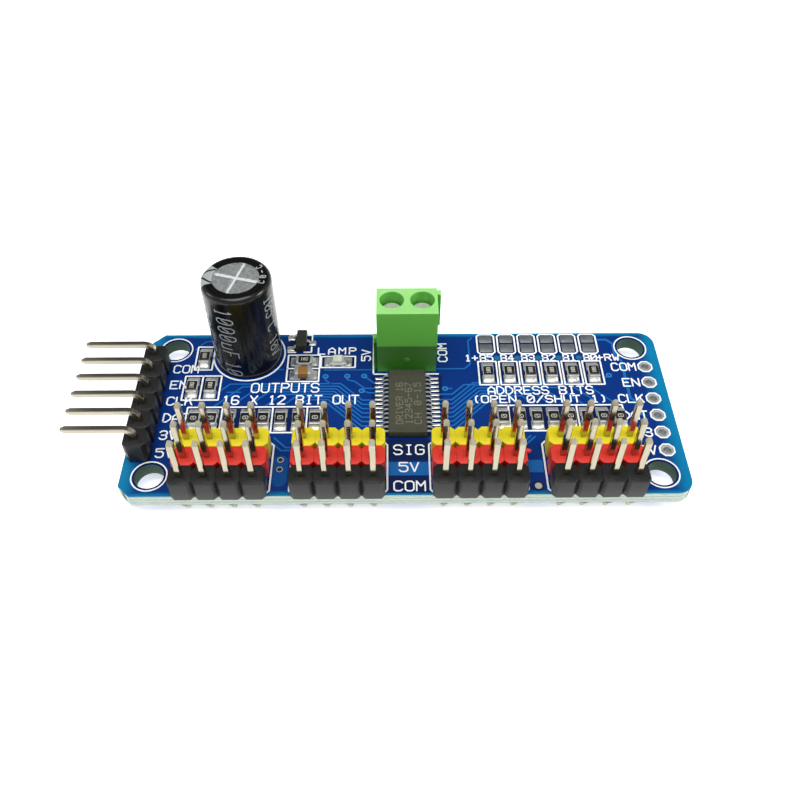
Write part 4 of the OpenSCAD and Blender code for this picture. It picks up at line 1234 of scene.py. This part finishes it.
# %% Housing
def softened_copy(name, node, finish, width, body="board"):
    """A merged copy of a CAD node with its flat faces joined and its edges bevelled."""
    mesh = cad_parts[node].data.copy()
    mesh.name = name
    work = bmesh.new()
    work.from_mesh(mesh)
    bmesh.ops.remove_doubles(work, verts=work.verts, dist=0.0005 * MM)
    bmesh.ops.dissolve_limit(work, angle_limit=math.radians(1), verts=work.verts, edges=work.edges)
    work.to_mesh(mesh)
    work.free()
    mesh.materials.clear()
    mesh.materials.append(finish)
    made = bpy.data.objects.new(name, mesh)
    bpy.context.scene.collection.objects.link(made)
    bevel = made.modifiers.new("moulded edge", "BEVEL")
    bevel.width = width * MM
    bevel.segments = 2
    bevel.limit_method = "ANGLE"
    bevel.angle_limit = math.radians(40)
    mesh.polygons.foreach_set("use_smooth", [True] * len(mesh.polygons))
    mesh.set_sharp_from_angle(angle=math.radians(32))
    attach(made, body)
    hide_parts(node)
    return made


softened_copy("green_terminal_block", "terminal_housing", green_polyamide, 0.1)
MARK_X, MARK_Z = 0.3, 4.0
NUB_PLACE, NUB_RADII = (13.3, -7.65, 3.3), (0.42, 0.26, 0.28)
face_y = float(span("terminal_housing")[0][1])
mark = carried_up(circle(0.34, 24), soft_edges(-0.03, 0.02, 0.0, 0.02, 2))
mark = np.stack([mark[..., 0], -mark[..., 2], mark[..., 1]], axis=-1) + [MARK_X, face_y, MARK_Z]
pale_polyamide = moulded("moulded_pale_polyamide", "#4f9440", "#458536", 0.5, 0.5, 0.1)
piece("moulding_mark", [(skin(mark), pale_polyamide)])
nub_profile = [(t, 1 - math.sqrt(max(0.02, 1 - t * t))) for t in np.linspace(-1, 1, 9).tolist()]
nub = carried_up(circle(1.0, 16), nub_profile) * NUB_RADII
piece("gate_nub", [(skin(nub + NUB_PLACE), red_nylon)])

# %% Clamp screws
def screw_head(radius, low, high, slot_wide, slot_deep):
    """A slotted head: a full disc below the slot, and a half-moon with a soft edge on each side of it."""
    start = math.asin(slot_wide / 2 / radius)
    t = np.linspace(start, np.pi - start, 33)
    moon = radius * np.stack([np.cos(t), np.sin(t)], axis=-1)
    half = carried_up(moon, soft_edges(high - slot_deep - 0.02, high, 0.0, 0.09, 2))
    disc = carried_up(circle(radius, 64), soft_edges(low, high - slot_deep, 0.05, 0.0, 2))
    return [skin(disc), skin(np.stack([half, turned(half, 180)]))]


def threaded(radius, low, high, pitch=0.4, deep=0.1):
    """A shank whose radius falls by a triangle wave of (z / pitch - angle / full turn)."""
    z = np.linspace(low, high, int((high - low) / pitch * 6))[:, None]
    t = np.linspace(0, 2 * np.pi, 32, endpoint=False)[None]
    wave = np.abs((z / pitch - t / (2 * np.pi)) % 1 * 2 - 1)
    r = radius - deep * wave
    return skin(np.stack([r * np.cos(t), r * np.sin(t), np.broadcast_to(z, r.shape)], axis=-1))


for side in ("left", "right"):
    low, high = span(f"{side}_clamp_screw")
    middle = (low + high) / 2
    parts = screw_head((high - low)[0] / 2, high[2] - 1.1, high[2], 0.45, 0.5)
    parts.append(threaded(0.9, low[2], high[2] - 1.0))
    shift = np.array([middle[0], middle[1], 0])
    piece(f"{side}_slotted_screw", [((verts + shift, tables), zinc_steel) for verts, tables in parts],
          [f"{side}_clamp_screw"], body=f"{side}_screw")
print("terminal: one housing and two slotted screws")

# %% [markdown]
# ## Solids that stay as they are
# The board itself, the cages, the contact bars and the capacitor's insides are right as solids. They
# only need their finishes, which read the same object coordinates as everything else.

# %% Finishes for the carried-over solids
KEPT = {"circuit_board": board_lacquer, "left_clamp_cage": pressed_brass, "right_clamp_cage": pressed_brass,
        "left_contact_tag": tinned_copper, "right_contact_tag": tinned_copper,
        "capacitor_winding": wound_paper, "capacitor_bung": black_rubber, "capacitor_leads": tinned_copper}
for node, finish in KEPT.items():
    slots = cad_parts[node].material_slots
    if not slots:
        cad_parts[node].data.materials.append(finish)
    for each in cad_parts[node].material_slots:
        each.link = "OBJECT"
        each.material = finish
print("kept solids:", len(KEPT))

# %% [markdown]
# ## Floor and light
# The board lies on its pin tails on a light table of white acrylic, which glows a little, so there is no
# hard shadow. One large soft lamp hangs above, one stands on each side for the long highlights on the
# can, and the surround is white but for a dark patch high at the back. Flat tops mirror that patch to
# the viewer, and that is what keeps blacks black and the blue deep.

# %% Floor, lamps and surround
FLOOR_Z = float(np.array(CAD_BOX[0])[2]) / MM - 0.02
pale_sheet, tree, shader, place = start_finish("white_acrylic_light_table", {
    "Roughness": 0.9, "Specular IOR Level": 0.1, "Emission Color": linear("#ffffff"),
    "Emission Strength": 0.5})
tone = add(tree, "TexNoise", {"Vector": place, "Scale": per_mm(60), "Detail": 1.0})
mixed = add(tree, "MixRGB", {"Fac": tone.outputs["Fac"], "Color1": linear("#fbfbfb"),
                             "Color2": linear("#fefefe")})
tree.links.new(mixed.outputs["Color"], shader.inputs["Base Color"])
sheet_mesh = bpy.data.meshes.new("floor")
SHEET = 5000
sheet = np.column_stack([outline(SHEET, SHEET, 0, 0), np.full(4, FLOOR_Z)]) * MM
sheet_mesh.from_pydata(sheet.tolist(), [], [(0, 1, 2, 3)])
sheet_mesh.materials.append(pale_sheet)
floor = bpy.data.objects.new("floor", sheet_mesh)
bpy.context.scene.collection.objects.link(floor)


def soft_lamp(name, place, size, watts):
    """A square panel of light, its face turned to the board."""
    data = bpy.data.lights.new(name, "AREA")
    data.size = size * MM
    data.energy = watts
    made = bpy.data.objects.new(name, data)
    made.location = Vector(place) * MM
    made.rotation_euler = (-Vector(place)).to_track_quat("-Z", "Y").to_euler()
    bpy.context.scene.collection.objects.link(made)


soft_lamp("overhead_lamp", (-30, -30, 430), 300, 1.25)
soft_lamp("left_lamp", (-380, 20, 220), 110, 0.2)
soft_lamp("right_lamp", (380, -30, 220), 110, 0.6)

surround = bpy.data.worlds.new("white_surround")
surround.use_nodes = True
sky = surround.node_tree
MIRRORED = (0.0, 0.62, 0.785)
toward = add(sky, "VectorMath", {0: add(sky, "TexCoord").outputs["Generated"], 1: MIRRORED},
             operation="DOT_PRODUCT")
shade = add(sky, "MapRange", {"Value": toward.outputs["Value"], "From Min": 0.7, "From Max": 0.95,
                              "To Min": 0.62, "To Max": 0.1}, interpolation_type="SMOOTHSTEP")
sky.links.new(shade.outputs["Result"], sky.nodes["Background"].inputs["Strength"])
sky.nodes["Background"].inputs["Color"].default_value = linear("#ffffff")
bpy.context.scene.world = surround
bpy.context.scene.view_settings.view_transform = "Standard"
